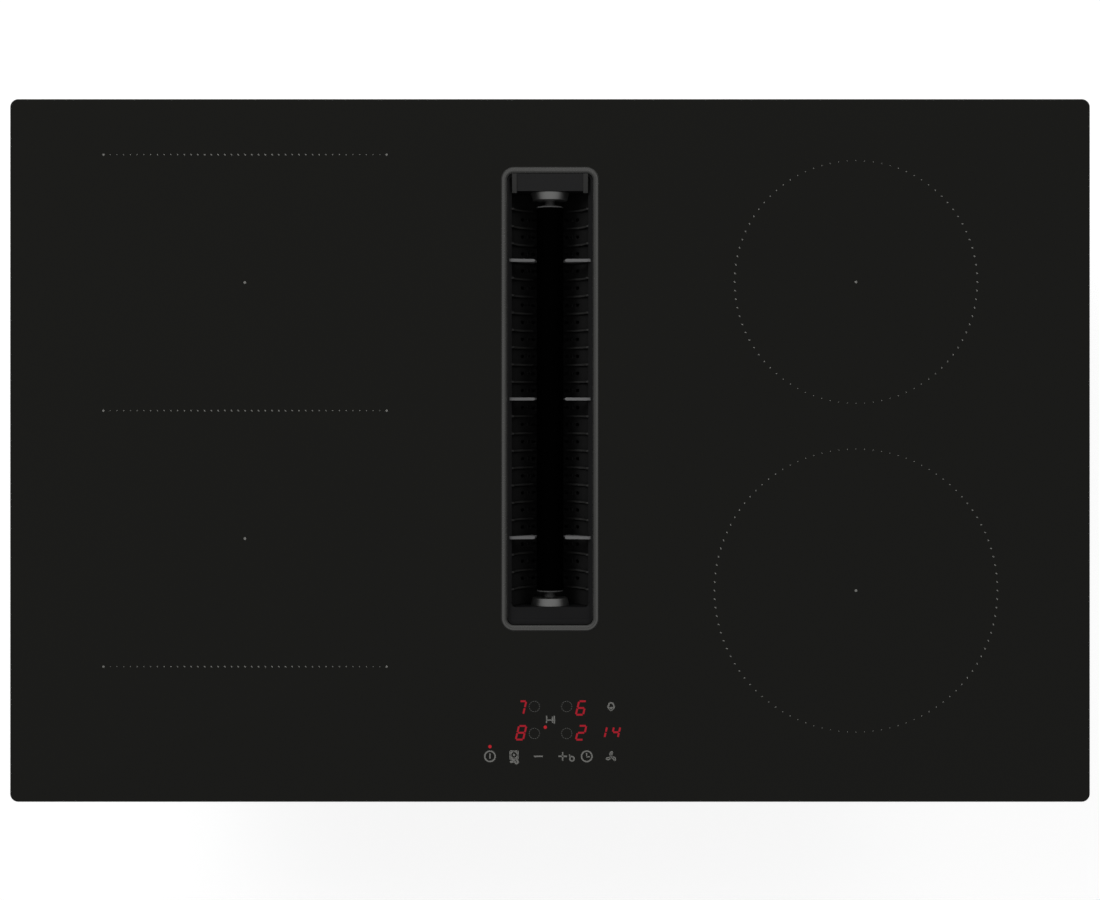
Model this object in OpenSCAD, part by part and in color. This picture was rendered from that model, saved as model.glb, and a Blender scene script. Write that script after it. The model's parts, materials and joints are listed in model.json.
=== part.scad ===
// Downdraft induction cooktop. A glass hob with a removable filter insert in its middle,
// a radial extractor under it, four induction coils and their electronics.
// +X runs along the width, +Y towards the back and +Z up. The origin lies under the centre
// of the glass, at the level of the lowest face of the ventilation housing.

/* [Glass] */
// Width of the glass
glass_w = 802; // [796:1:860]
// Depth of the glass
glass_d = 522; // [516:1:560]
// Thickness of the glass
glass_t = 4; // [3:0.5:6]
// Corner radius of the glass
glass_corner_r = 6; // [3:0.5:15]
// Ground arris along both rims of the glass edge
glass_arris = 0.6; // [0.2:0.1:1.2]
// Height of the glass surface over the lowest face
unit_h = 223; // [218:1:260]

/* [Case] */
// Reach of the glass over each side of the case
side_reach = 29; // [27:0.5:33]
// Reach of the glass over the front and the back of the case
front_reach = 19; // [17:0.5:22]
// Depth of the case under the worktop
case_h = 56; // [54:1:60]
// Corner radius of the case
case_corner_r = 8; // [4:1:16]
// Thickness of the tray's sheet
sheet_t = 0.8; // [0.6:0.1:1.5]
// Thickness of the seal between glass and worktop
seal_t = 1; // [1:0.5:3]
// Width of the seal between glass and worktop
seal_w = 9; // [6:1:10]

/* [Inlet] */
// Distance of the inlet's centre behind the centre of the glass
inlet_y = 38.2; // [30:0.1:42]
// Width of the raised inlet frame
inlet_w = 72.6; // [70:0.1:76]
// Length of the raised inlet frame
inlet_l = 344.5; // [340:0.5:350]
// Width of the frame's raised lip
bezel_w = 4.3; // [4:0.1:5]
// Height of the frame's raised lip
bezel_h = 1.2; // [0.8:0.1:2]
// Outer corner radius of the frame
bezel_r = 9.5; // [8:0.5:12]

/* [Filter insert] */
// Radius of the grip tube
grip_r = 10.1; // [8:0.1:11]
// Length of the grip tube
grip_l = 287; // [270:1:289]
// Depth of the grip tube's axis under the glass surface
grip_depth = 19.5; // [18:0.5:21]
// Outer radius of the tapered bosses at the ends of the grip
boss_r = 14.4; // [12:0.1:15]
// Pitch of the slats
slat_pitch = 12.92; // [10:0.01:13]
// Thickness of a slat
slat_t = 1.4; // [1:0.1:2.4]
// Thickness of a cross bar
bar_t = 2.2; // [1.6:0.1:3]

/* [Ventilation] */
// Outer radius of the impeller
impeller_r = 90; // [84:1:92]
// Height of the impeller's blades
blade_h = 64; // [56:1:68]
// Number of blades on the impeller
impeller_blades = 40; // [24:1:44]
// Height of the suction chamber over the fan
chamber_h = 60; // [54:1:64]
// Wall of the moulded housings
shell_t = 2.5; // [2:0.1:3.5]
// Width of the flat duct
duct_w = 222; // [210:1:224]
// Height of the flat duct
duct_h = 89; // [84:1:90]
// Width of the overflow tank
tank_w = 80; // [60:1:86]
// Length of the overflow tank
tank_l = 220; // [160:1:230]

/* [Induction] */
// Width of a coil of the flexible zone
flex_coil_w = 200; // [170:1:206]
// Depth of a coil of the flexible zone
flex_coil_d = 182; // [150:1:186]
// Radius of the large round coil
large_coil_r = 102; // [90:1:106]
// Radius of the small round coil
small_coil_r = 87; // [70:1:92]

/* [Hidden] */
$fn = 72;
// One overrun serves every cut
cut = 0.7;
// General play between pieces that are laid into each other
play = 0.4;
half_turn = 180;
quarter = 90;
// Case that hangs in the worktop cut-out
case_w = glass_w - 2*side_reach;
case_d = glass_d - 2*front_reach;

// Heights of the main levels
z_top = unit_h;
z_glass0 = z_top - glass_t;
z_work = z_glass0 - seal_t;
z_tray0 = z_work - case_h;
z_floor = z_tray0 + sheet_t;

// Glass seal
seal_inset = 2;
seal_r = 4;
seal_inner_r = 3;

// Support frame, a folded ring bonded under the glass
frame_t = 1;
flange_w = 8;
flange_inner_r = 4;
skirt_h = 12;
z_frame0 = z_glass0 - frame_t;
tray_w = case_w - 2*(frame_t + play);
tray_d = case_d - 2*(frame_t + play);
tray_r = case_corner_r - frame_t - play;
tray_h = z_frame0 - z_tray0;

// Inlet frame
frame_seal_t = 0.4;
frame_seal_w = 2;
frame_seal_inset = 0.4;
collar_t = 0.9;
ledge_w = 1.2;
ledge_t = 1.2;
ledge_depth = 8.5;
// Places across and up the lip, from its outer foot to its inner rim
lip_shares = [[0, 0], [0, 0.62], [0.11, 1], [0.28, 1], [0.42, 0.7], [0.6, 0.7],
              [0.75, 1], [0.91, 1], [1, 0.7]];
opening_w = inlet_w - 2*bezel_w;
opening_l = inlet_l - 2*bezel_w;
opening_r = bezel_r - bezel_w;
glass_hole_w = opening_w + 2*(collar_t + play);
glass_hole_l = opening_l + 2*(collar_t + play);
glass_hole_r = opening_r + collar_t + play;

// Filter basket
rim_drop = 2.2;
rim_w = 3;
rim_lip_w = 1.4;
rim_seat = 1.5;
z_rim1 = z_top - rim_drop;
z_rim0 = z_top - ledge_depth;
z_seat = z_rim0 + rim_seat;
basket_w = opening_w - 2*play;
basket_l = opening_l - 2*play;
basket_r = opening_r - play;
trough_gap = 0.3;
end_gap = 1.2;
mesh_t = 1.2;
slat_h = 2.2;
mesh_r = opening_w/2 - ledge_w - trough_gap;
slat_r = mesh_r - mesh_t;
trough_l = opening_l - 2*(ledge_w + end_gap);
keel_angle = 40;
keel_t = 2.6;
slats_per_bay = 7;
bar_step = slat_pitch*(slats_per_bay + 1);
end_slats = 3;
// End blocks, the ramp over the rear one and the stepped shelf over the front one
ramp_w = 56.4;
ramp_drop = 2.2;
ramp_t = 1.1;
ramp_border = 3.4;
ramp_border_h = 0.5;
ramp_border_over = 1.5;
shelf_drop = 1.6;
shelf_step = 0.6;
shelf_step_l = 3.9;
shelf_corner_r = 3;
block_t = 10.55;
block_r = slat_r - slat_h/2;
mesh_l = trough_l - 2*block_t;
keel_l = trough_l - block_t;

// Grip, its axle and its bosses
z_grip = z_top - grip_depth;
cap_inset = 0.12;
cap_r = grip_r - cap_inset;
cap_t = 1;
plug_l = 4;
axle_r = 4;
stub_l = 3.9;
boss_l = trough_l/2 - block_t - grip_l/2 - cap_t - stub_l;
boss_taper = 1.4;
boss_edge = 0.4;
boss_neck_r = 5.5;
tube_t = 1.6;

// Cross bars
bar_h = 3.4;
bar_fall = 2.8;
bar_tip_t = 1.4;
bar_tip_l = 1.3;
bar_reach = 1.1;
bar_notch = 1;

// Grease filters: rows of slots in each bay
filter_slot_w = 2.6;
filter_slot_angle = 7;
filter_span = 30;
filter_rows = 3;

// Condensate tray under the trough
boat_w = 36;
boat_l = 300;
boat_h = 16;
boat_t = 1.5;
boat_r = 8;
boat_drop = 12;
drain_slot_w = 3;
drain_slot_l = 10;
drain_slots = 9;

// Inlet well
well_w = 100;
well_l = 352;
well_r = 12;
well_t = 2;
well_flange_w = 8;
well_flange_t = 2;
foot_margin = 10;
foot_lap = 3;
gasket_t = 1.5;
z_well1 = z_glass0 - gasket_t;

// Worktop springs on both sides of the case
spring_inset = 92;
spring_y = case_d/2 - spring_inset;
spring_l = 26;
spring_t = 0.7;
spring_bulge = 5.5;
spring_span = 34;
spring_leg = 9.5;
bow_r = (spring_span*spring_span/4 + spring_bulge*spring_bulge)/(2*spring_bulge);

// Sheet-metal screws
screw_r = 1.7;
screw_l = 7;
head_r = 3.4;
head_h = 1.8;
socket_r = 1.1;
tray_screw_inset = 72;
tray_screw_x = case_w/2 - tray_screw_inset;

// Ventilation levels and plan
z_deck1 = z_tray0 - chamber_h;
deck_t = 3;
z_deck0 = z_deck1 - deck_t;
fan_x = -95;
fan_y = -70;
tongue_gap = 10;
volute_r = impeller_r + tongue_gap;
volute_step = 20;
duct_wall = 2;
channel_w = duct_w - 2*duct_wall;
channel_y = 209;
rim_out = 8;
chamber_w = 252;
chamber_l = 384;
chamber_x = -64;
chamber_y = 30;
chamber_r = 20;
bay_gap = 2;
bay_x = 64;
bay_y = 50;
bay_r = 12;

// Nozzle over the impeller
throat_r = 68;
bell_r = 12;
nozzle_t = 2;
nozzle_flange = 8;
nozzle_overlap = 5;

// Impeller
plate_t = 2;
z_plate = 14;
blade_t = 1.2;
blade_curve_r = 15;
blade_inner_r = 74;
ring_band = 5;
ring_t = 3;
z_impeller1 = z_plate + plate_t + blade_h;
rib_count = 8;
rib_t = 2;
rib_h = 8;

// Fan motor
cup_r = 44;
cup_t = 2;
cup_h = 36;
z_cup0 = 12;
shaft_r = 4;
running_fit = 0.03;
bearing_r = 9;
z_bearing1 = 40;
motor_flange_r = 50;
motor_flange_t = 4;
z_motor0 = 6;
stator_r = 38;
stator_h = 22;
z_stator = 17;
stator_slots = 9;
stator_slot_w = 5;
damper_r = 7;
damper_ring_r = 40;
shaft_foot = 1.5;

// Outlet collar
collar_flange_t = 3;
collar_l = 30;
collar_r = 10;
collar_lip = 6;
lip_seal_t = 1;
lip_seal_w = 4;
z_duct = 49.5;
duct_flange_h = 98;

// Overflow tank
tank_t = 2;
tank_r = 10;
z_tank0 = 9;
tank_seal_t = 2;
tank_seal_w = 4;
tank_gap = 0.3;
handle_w = 14;
handle_l = 70;
handle_t = 4;
handle_foot = 1;
drain_w = 30;
drain_l = 190;
drain_x = 41;
z_tank1 = z_deck0 - tank_seal_t - tank_gap;

// Housing screws
chamber_screw_shares = [-0.42, -0.14, 0.14, 0.42];

// Coils, from the glass downwards
blanket_t = 3;
winding_t = 4.2;
turn_pitch = 5;
turn_w = 4.2;
web_t = 1.2;
former_t = 2.3;
ferrite_t = 4;
ferrite_w = 9;
carrier_t = 1;
coil_hole_r = 20;
ferrite_start_r = 24;
ferrite_inset = 6;
z_blanket0 = z_glass0 - blanket_t;
z_winding0 = z_blanket0 - winding_t;
z_former0 = z_winding0 - former_t;
z_ferrite0 = z_former0 - ferrite_t;
z_carrier0 = z_ferrite0 - carrier_t;
// Zone centres from the glass edges and from each other
flex_edge = 174.6;
flex_rear_edge = 136.2;
flex_step = 190.2;
round_edge = 173.8;
small_edge = 135.9;
round_step = 229.1;
flex_x = flex_edge - glass_w/2;
flex_rear_y = glass_d/2 - flex_rear_edge;
flex_front_y = flex_rear_y - flex_step;
flex_corner_r = 60;
round_x = glass_w/2 - round_edge;
small_y = glass_d/2 - small_edge;
large_y = small_y - round_step;
flex_ferrites = 8;
round_ferrites = 8;
sensor_r = 6;
sensor_flange_r = 9;
sensor_flange_t = 1.5;

// Coil carriers, bent plates that stand on the tray
carrier_in = 66.5;
carrier_side = 3;
carrier_end = 8.8;
carrier_l = tray_d - 2*(sheet_t + carrier_end);

// Control unit under the front of the glass
control_x = 14;
control_inset = 38;
control_y = control_inset - case_d/2;
control_w = 240;
control_l = 58;
control_wall = 1.5;
control_board_t = 1.6;
key_h = 5;
key_r = 5;
key_bore_r = 3.4;
key_pitch = 24;
key_count = 8;
display_w = 24;
display_l = 12;
display_pitch = 46;
display_count = 3;
z_board1 = z_glass0 - key_h;
z_board0 = z_board1 - control_board_t;
control_margin = 4;
control_rest = 3;

// Power electronics
board_t = 1.6;
standoff_h = 5;
standoff_r = 3;
standoff_inset = 7;
board_w = 150;
board_l = 250;
board_x = 215;
board_y = 75;
z_board = z_floor + standoff_h;
sink_w = 52;
sink_l = 190;
sink_h = 26;
sink_base = 4;
sink_fins = 9;
sink_fin_t = 1.4;
sink_x = 262;
sink_y = 78;
cap_can_r = 8;
cap_can_h = 22;
choke_r = 15;
choke_h = 14;
choke_hole_r = 6;
relay_w = 18;
relay_l = 28;
relay_h = 15;
relay_gap = 6;
mains_w = 52;
mains_l = 130;
mains_x = 96;
mains_y = 125;

// Cooling blowers
blower_inset = 110;
blower_front = 114;
blower_x = case_w/2 - blower_inset;
blower_y = blower_front - case_d/2;
wheel_r = 36;
wheel_h = 17;
wheel_blades = 28;
wheel_blade_t = 0.8;
wheel_inner_r = 28;
wheel_curve_r = 7;
wheel_plate = 1.5;
wheel_gap = 4;
wheel_step = 6;
blower_wall = 1.6;
blower_h = 26;
blower_out_w = 80;
blower_out_y = 50;
blower_inlet_r = 29;
wheel_hub_r = 12;
wheel_bore_r = 3.04;
wheel_pin_r = 3;
wheel_lift = 2.6;
grille_slots = 12;
grille_in_r = 10;
grille_out_r = 29;
grille_slot_w = 4.5;

// Pressed beads in the tray's floor
bead_w = 9;
bead_l = 190;
bead_h = 1.4;
bead_x = 215;
bead_y = 30;
bead_pitch = 34;
bead_count = 3;

// Louvres in the tray's rear and front walls
louvre_w = 4;
louvre_h = 22;
louvre_pitch = 11;
louvre_count = 12;
louvre_x = 170;
louvre_z = 24;

// Terminal box under the tray's rear right corner
box_w = 110;
box_l = 76;
box_h = 34;
box_t = 2.2;
box_r = 6;
box_inset = 107;
box_rear = 52;
box_x = case_w/2 - box_inset;
box_y = case_d/2 - box_rear;
cover_t = 2;
post_r = 4;
post_inset = 8;
gland_r = 9;
gland_bore_r = 5.5;
gland_l = 16;
gland_nut_r = 12;
gland_nut_t = 4;
block_w = 60;
block_l = 24;
block_h = 16;
block_poles = 5;
pole_r = 2.6;
pole_depth = 9;
wire_hole_r = 8;

// Rounded rectangle about the origin
module rounded_rect(w, d, r) {
    square([w - 2*r, d], center = true);
    square([w, d - 2*r], center = true);
    for (x = [-1, 1], y = [-1, 1]) translate([x*(w/2 - r), y*(d/2 - r)]) circle(r);
}

module slab(w, d, h, r) {
    linear_extrude(h) rounded_rect(w, d, r);
}

// Upright rectangular ring with rounded corners
module rect_ring(w, d, h, r, wall, inner_r = 0) {
    difference() {
        slab(w, d, h, r);
        translate([0, 0, -cut])
            slab(w - 2*wall, d - 2*wall, h + 2*cut, inner_r > 0 ? inner_r : r - wall);
    }
}

// Carries a profile round a rounded rectangle. The profile's x is the distance out from
// the corner's axis, so the rectangle's own edge is at x = r.
module around(w, d, r) {
    for (side = [0:3]) {
        run = side % 2 == 0 ? w : d;
        across = side % 2 == 0 ? d : w;
        rotate([0, 0, quarter*side]) {
            translate([-(run/2 - r), across/2 - r, 0]) rotate([quarter, 0, quarter])
                linear_extrude(run - 2*r) children();
            translate([run/2 - r, across/2 - r, 0]) rotate_extrude(angle = quarter) children();
        }
    }
}

// Slot with round ends along X
module slot(l, w) {
    square([l - w, w], center = true);
    for (x = [-1, 1]) translate([x*(l - w)/2, 0]) circle(w/2);
}

// One quarter disc in the corner that dir turns to
module quarter_disc(r, turn) {
    rotate(turn) intersection() {
        circle(r);
        square(r);
    }
}

// Plan of a fan housing about the wheel's axis: three quarter arcs that grow by one step
// each, and a straight channel to the back. The wheel turns clockwise, seen from above.
module volute(r0, step, out_w, out_y, grow) {
    translate([step/2, -step/2]) quarter_disc(r0 + grow, 0);
    translate([-step/2, -step/2]) quarter_disc(r0 + step + grow, -quarter);
    translate([-step/2, step/2]) quarter_disc(r0 + 2*step + grow, half_turn);
    square(step, center = true);
    translate([-step/2 - r0 - 2*step - grow, step/2]) square([out_w + 2*grow, out_y - step/2]);
}

// Ring of forward-curved blades between two radii
module blade_ring(outer, inner, curve, t, count, h) {
    linear_extrude(h) intersection() {
        difference() {
            circle(outer);
            circle(inner);
        }
        union() for (i = [0:count - 1]) rotate(i*2*half_turn/count)
            translate([(outer + inner)/2, curve/2]) difference() {
                circle(curve);
                circle(curve - t);
                translate([-curve, -curve/3]) square(2*curve);
            }
    }
}

module screw() {
    cylinder(r = screw_r, h = screw_l);
    translate([0, 0, -head_h]) difference() {
        cylinder(r = head_r, h = head_h);
        translate([0, 0, -cut]) cylinder(r = socket_r, h = head_h/2 + cut);
    }
}

module screw_hole() {
    translate([0, 0, -screw_l]) cylinder(r = screw_r, h = 3*screw_l);
}

// Places of the screws that join tray and support frame, with +Z pointing into the case
module at_tray_screws() {
    for (y = [-1, 1], x = [-1, 0, 1])
        translate([x*tray_screw_x, y*case_d/2, z_frame0 - skirt_h/2])
            rotate([y*quarter, 0, 0]) children();
}

// Places of the screws that hold the worktop springs, with +Z pointing into the case
module at_spring_screws() {
    for (x = [-1, 1], y = [-1, 1])
        translate([x*case_w/2, y*spring_y, z_frame0 - skirt_h/2])
            rotate([0, -x*quarter, 0]) children();
}

// Places on the glass over each coil
module at_coils() {
    for (p = [[flex_x, flex_front_y], [flex_x, flex_rear_y], [round_x, large_y], [round_x, small_y]])
        translate([p[0], p[1], 0]) children();
}

module glass_panel() {
    edge = [[0, 0], [glass_corner_r - glass_arris, 0], [glass_corner_r, glass_arris],
            [glass_corner_r, glass_t - glass_arris], [glass_corner_r - glass_arris, glass_t],
            [0, glass_t]];
    color([0.1, 0.1, 0.09]) translate([0, 0, z_glass0]) difference() {
        union() {
            around(glass_w, glass_d, glass_corner_r) polygon(edge);
            linear_extrude(glass_t)
                square([glass_w - 2*glass_corner_r, glass_d - 2*glass_corner_r], center = true);
        }
        translate([0, inlet_y, -cut])
            slab(glass_hole_w, glass_hole_l, glass_t + 2*cut, glass_hole_r);
    }
}

module glass_seal() {
    color([0.15, 0.15, 0.15]) translate([0, 0, z_work])
        rect_ring(glass_w - 2*seal_inset, glass_d - 2*seal_inset, seal_t, seal_r, seal_w,
                  seal_inner_r);
}

module support_frame() {
    color([0.72, 0.73, 0.74]) difference() {
        union() {
            translate([0, 0, z_frame0])
                rect_ring(case_w, case_d, frame_t, case_corner_r, flange_w, flange_inner_r);
            translate([0, 0, z_frame0 - skirt_h])
                rect_ring(case_w, case_d, skirt_h, case_corner_r, frame_t);
        }
        at_tray_screws() screw_hole();
        at_spring_screws() screw_hole();
    }
}

module inlet_frame() {
    foot = -frame_seal_t - ledge_depth;
    inner = opening_r;
    profile = concat([for (s = lip_shares) [bezel_r - s[0]*bezel_w, s[1]*bezel_h]],
        [[inner, foot], [inner - ledge_w, foot], [inner - ledge_w, foot - ledge_t],
         [inner + collar_t, foot - ledge_t], [inner + collar_t, 0]]);
    color([0.28, 0.28, 0.29]) translate([0, inlet_y, z_top + frame_seal_t])
        around(inlet_w, inlet_l, bezel_r) polygon(profile);
}

module inlet_frame_seal() {
    color([0.08, 0.08, 0.08]) translate([0, inlet_y, z_top])
        rect_ring(inlet_w - 2*frame_seal_inset, inlet_l - 2*frame_seal_inset, frame_seal_t,
                  bezel_r - frame_seal_inset, frame_seal_w);
}

// Half ring under the rim, in the plane across the slot, t thick and centred on its place
module half_hoop(outer, inner, t) {
    translate([0, t/2, 0]) rotate([quarter, 0, 0]) linear_extrude(t) difference() {
        circle(outer);
        circle(inner);
        translate([-2*outer, 0]) square(4*outer);
    }
}

// Part of a trough wall between two angles from straight down
module trough_sector(outer, inner, l, from, to) {
    translate([0, l/2, 0]) rotate([quarter, 0, 0]) rotate([0, 0, from - quarter])
        linear_extrude(l) intersection() {
            difference() {
                circle(outer);
                circle(inner);
            }
            polygon([[0, 0], [2*outer, 0], [2*outer*cos((to - from)/2), 2*outer*sin((to - from)/2)],
                     [2*outer*cos(to - from), 2*outer*sin(to - from)]]);
        }
}

// A pair of cross bars. Each is an upright web that stands on the rim's seat, runs almost
// level to the side of the grip tube and holds the tube from below.
module bar_pair() {
    x_end = basket_w/2 - bar_notch;
    x_rim = basket_w/2 - rim_w;
    x_tip = grip_r + bar_reach;
    z_bar = z_seat + bar_h;
    for (side = [0, 1]) rotate([0, 0, side*half_turn]) intersection() {
        translate([0, 0, z_grip - grip_r]) linear_extrude(2*grip_depth) polygon([
            [grip_r/2, -bar_tip_t/2], [x_tip, -bar_tip_t/2], [x_tip + bar_tip_l, -bar_t/2],
            [x_end, -bar_t/2], [x_end, bar_t/2], [x_tip + bar_tip_l, bar_t/2],
            [x_tip, bar_tip_t/2], [grip_r/2, bar_tip_t/2]]);
        translate([0, bar_t, 0]) rotate([quarter, 0, 0]) linear_extrude(2*bar_t) polygon([
            [grip_r/2, z_grip - grip_r + bar_reach], [x_rim, z_seat], [x_end, z_seat],
            [x_end, z_bar], [x_rim, z_bar], [x_tip, z_bar - bar_fall], [x_tip, z_grip],
            [grip_r/2, z_grip]]);
    }
}

module at_bars() {
    for (k = [-1:1]) translate([0, inlet_y + k*bar_step, 0]) children();
}

// Rim in two steps: an upright lip outside and the seat of the cross bars inside it
module basket_rim() {
    difference() {
        translate([0, 0, z_rim0]) slab(basket_w, basket_l, z_rim1 - z_rim0, basket_r);
        translate([0, 0, z_rim0 - cut]) slab(basket_w - 2*rim_w, basket_l - 2*rim_w,
                                             z_rim1 - z_rim0 + 2*cut, basket_r - rim_w);
        translate([0, 0, z_seat]) slab(basket_w - 2*rim_lip_w, basket_l - 2*rim_lip_w,
                                       z_rim1 - z_rim0, basket_r - rim_lip_w);
    }
}

// Closed end of the trough, for the end at +Y
module end_block() {
    translate([0, trough_l/2, z_rim0]) rotate([quarter, 0, 0]) linear_extrude(block_t)
        difference() {
            circle(block_r);
            translate([-2*block_r, 0]) square(4*block_r);
        }
}

// Ramp from the inlet frame's lip down to the rear end of the trough, with raised borders
module rear_ramp() {
    y_out = basket_l/2;
    y_in = trough_l/2 - block_t;
    z_low = z_rim1 - ramp_drop;
    slope = (z_top - z_low)/(y_out - y_in);
    y_tip = y_in - ramp_border_over;
    z_tip = z_low - slope*ramp_border_over;
    translate([-ramp_w/2, 0, 0]) rotate([quarter, 0, quarter]) linear_extrude(ramp_w)
        polygon([[y_out, z_rim0], [y_out, z_top], [y_in, z_low], [y_in, z_rim0]]);
    for (side = [-1, 1]) translate([side*(ramp_w - ramp_border)/2 - ramp_border/2, 0, 0])
        rotate([quarter, 0, quarter]) linear_extrude(ramp_border) polygon([
            [y_out, z_rim1], [y_out, z_top + ramp_border_h], [y_tip, z_tip + ramp_border_h],
            [y_tip, z_tip - ramp_t], [y_in + ramp_t, z_tip - ramp_t]]);
}

// Stepped shelf over the front end of the trough, drawn for the end at +Y. The opening's
// corners are rounded.
module front_shelf() {
    y_out = basket_l/2;
    y_in = trough_l/2 - block_t;
    width = basket_w - rim_lip_w;
    z_shelf = z_rim1 - shelf_drop;
    intersection() {
        translate([0, 0, z_rim0])
            slab(width, basket_l - rim_lip_w, z_rim1 - z_rim0, basket_r - rim_lip_w/2);
        union() {
            translate([0, 0, z_rim0]) linear_extrude(z_shelf - z_rim0) difference() {
                translate([-width/2, y_in - shelf_corner_r])
                    square([width, y_out - y_in + shelf_corner_r]);
                translate([0, y_in - block_t])
                    rounded_rect(basket_w - 2*rim_w, 2*block_t, shelf_corner_r);
            }
            translate([-width/2, y_out - shelf_step_l, z_rim0])
                cube([width, shelf_step_l, z_shelf + shelf_step - z_rim0]);
        }
    }
}

module filter_basket() {
    color([0.16, 0.16, 0.17]) difference() {
        translate([0, inlet_y, 0]) {
            basket_rim();
            for (end = [0, 1]) rotate([0, 0, end*half_turn]) end_block();
            rear_ramp();
            rotate([0, 0, half_turn]) front_shelf();
            translate([0, 0, z_rim0]) {
                trough_sector(mesh_r, mesh_r - keel_t, keel_l, -keel_angle/2, keel_angle/2);
                for (side = [-1, 1], k = [1:slats_per_bay + 1 + end_slats])
                    translate([0, side*k*slat_pitch, 0])
                        half_hoop(slat_r, slat_r - slat_h, slat_t);
                half_hoop(slat_r, slat_r - slat_h, slat_t);
            }
        }
        at_bars() bar_pair();
        for (i = [0:drain_slots - 1])
            translate([0, inlet_y + (i - (drain_slots - 1)/2)*2*slat_pitch + slat_pitch/2,
                       z_rim0 - mesh_r - cut])
                linear_extrude(mesh_r/2) rotate(quarter) slot(drain_slot_l/2 + slat_h, drain_slot_w);
        for (end = [-1, 1]) translate([0, inlet_y + end*(trough_l/2 + cut), z_grip])
            rotate([end*quarter, 0, 0]) cylinder(r = axle_r, h = block_t + 2*cut);
    }
}

module cross_bars() {
    color([0.42, 0.42, 0.43]) difference() {
        at_bars() bar_pair();
        translate([0, inlet_y + grip_l/2, z_grip]) rotate([quarter, 0, 0])
            cylinder(r = grip_r, h = grip_l);
    }
}

// Round piece along the grip's axis, between two distances from its middle
module along_grip(r, from, to) {
    translate([0, inlet_y + to, z_grip]) rotate([quarter, 0, 0]) cylinder(r = r, h = to - from);
}

module grip_tube() {
    color([0.02, 0.02, 0.02]) difference() {
        along_grip(grip_r, -grip_l/2, grip_l/2);
        along_grip(grip_r - tube_t, -grip_l/2 - cut, grip_l/2 + cut);
    }
}

module grip_end_caps() {
    half = grip_l/2;
    color([0.3, 0.3, 0.3]) for (side = [0, 1])
        translate([0, inlet_y, 0]) rotate([0, 0, side*half_turn]) translate([0, -inlet_y, 0])
            difference() {
                union() {
                    along_grip(cap_r, half, half + cap_t);
                    along_grip(grip_r - tube_t, half - plug_l, half);
                }
                along_grip(axle_r, half - 2*plug_l, half + 2*cap_t);
            }
}

module grip_axle() {
    color([0.6, 0.6, 0.6]) along_grip(axle_r, -trough_l/2, trough_l/2);
}

module end_bosses() {
    face = trough_l/2 - block_t;
    color([0.75, 0.75, 0.75]) for (side = [0, 1])
        translate([0, inlet_y, z_grip]) rotate([0, 0, side*half_turn]) translate([0, face, 0])
            rotate([quarter, 0, 0]) difference() {
                rotate_extrude() polygon([
                    [0, 0], [boss_r - boss_edge, 0], [boss_r, boss_edge],
                    [boss_r - boss_taper, boss_l - boss_edge],
                    [boss_r - boss_taper - boss_edge, boss_l], [boss_neck_r, boss_l],
                    [boss_neck_r, boss_l + play], [0, boss_l + play]]);
                translate([0, 0, -cut]) cylinder(r = axle_r, h = boss_l + play + 2*cut);
            }
}

// Curved filter sheet on one side, with rows of slots in every bay
module grease_filter(side) {
    bays = slats_per_bay + 1 + end_slats;
    color([0.5, 0.5, 0.5]) translate([0, inlet_y, z_rim0]) scale([side, 1, 1]) difference() {
        trough_sector(mesh_r, slat_r, mesh_l, keel_angle/2, quarter);
        for (k = [-bays:bays - 1], row = [0:filter_rows - 1])
            translate([0, (k + 1/2)*slat_pitch, 0])
                rotate([0, quarter - keel_angle/2 - filter_span*(row + 1/2)/filter_rows, 0])
                    translate([slat_r - cut, 0, 0]) rotate([quarter, 0, quarter])
                        linear_extrude(mesh_t + 2*cut)
                            rotate(quarter) slot(slat_r*sin(filter_slot_angle), filter_slot_w);
    }
}

module grease_filter_left() grease_filter(-1);

module grease_filter_right() grease_filter(1);

module condensate_tray() {
    z_boat = z_rim0 - mesh_r - boat_drop;
    color([0.2, 0.2, 0.21]) difference() {
        translate([0, inlet_y, z_boat]) slab(boat_w, boat_l, boat_h, boat_r);
        translate([0, inlet_y, z_boat + boat_t])
            slab(boat_w - 2*boat_t, boat_l - 2*boat_t, boat_h, boat_r - boat_t);
        translate([0, inlet_y + boat_l, z_rim0]) rotate([quarter, 0, 0])
            cylinder(r = mesh_r, h = 2*boat_l);
    }
}

module inlet_well() {
    foot_reach = foot_margin + foot_lap;
    color([0.13, 0.13, 0.14]) translate([0, inlet_y, 0]) {
        translate([0, 0, z_tray0]) rect_ring(well_w, well_l, z_well1 - z_tray0, well_r, well_t);
        translate([0, 0, z_floor])
            rect_ring(well_w + 2*foot_reach, well_l + 2*foot_reach, well_flange_t,
                      well_r + foot_reach, foot_reach + well_t);
        translate([0, 0, z_well1 - well_flange_t])
            rect_ring(well_w + 2*well_flange_w, well_l + 2*well_flange_w, well_flange_t,
                      well_r + well_flange_w, well_flange_w + well_t);
    }
}

module well_gasket() {
    color([0.07, 0.07, 0.07]) translate([0, inlet_y, z_well1])
        rect_ring(well_w + 2*well_flange_w, well_l + 2*well_flange_w, gasket_t,
                  well_r + well_flange_w, well_flange_w);
}

// Radial slots under a blower wheel
module grille_plan() {
    for (i = [0:grille_slots - 1]) rotate(i*2*half_turn/grille_slots)
        translate([(grille_in_r + grille_out_r)/2, 0])
            slot(grille_out_r - grille_in_r, grille_slot_w);
}

// Stiffening beads, pressed up into the floor
module tray_beads(from, w, h) {
    for (side = [-1, 1], i = [0:bead_count - 1])
        translate([side*bead_x + (i - (bead_count - 1)/2)*bead_pitch, bead_y, z_tray0 + from])
            linear_extrude(h) rotate(quarter) slot(bead_l + w, w);
}

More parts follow.
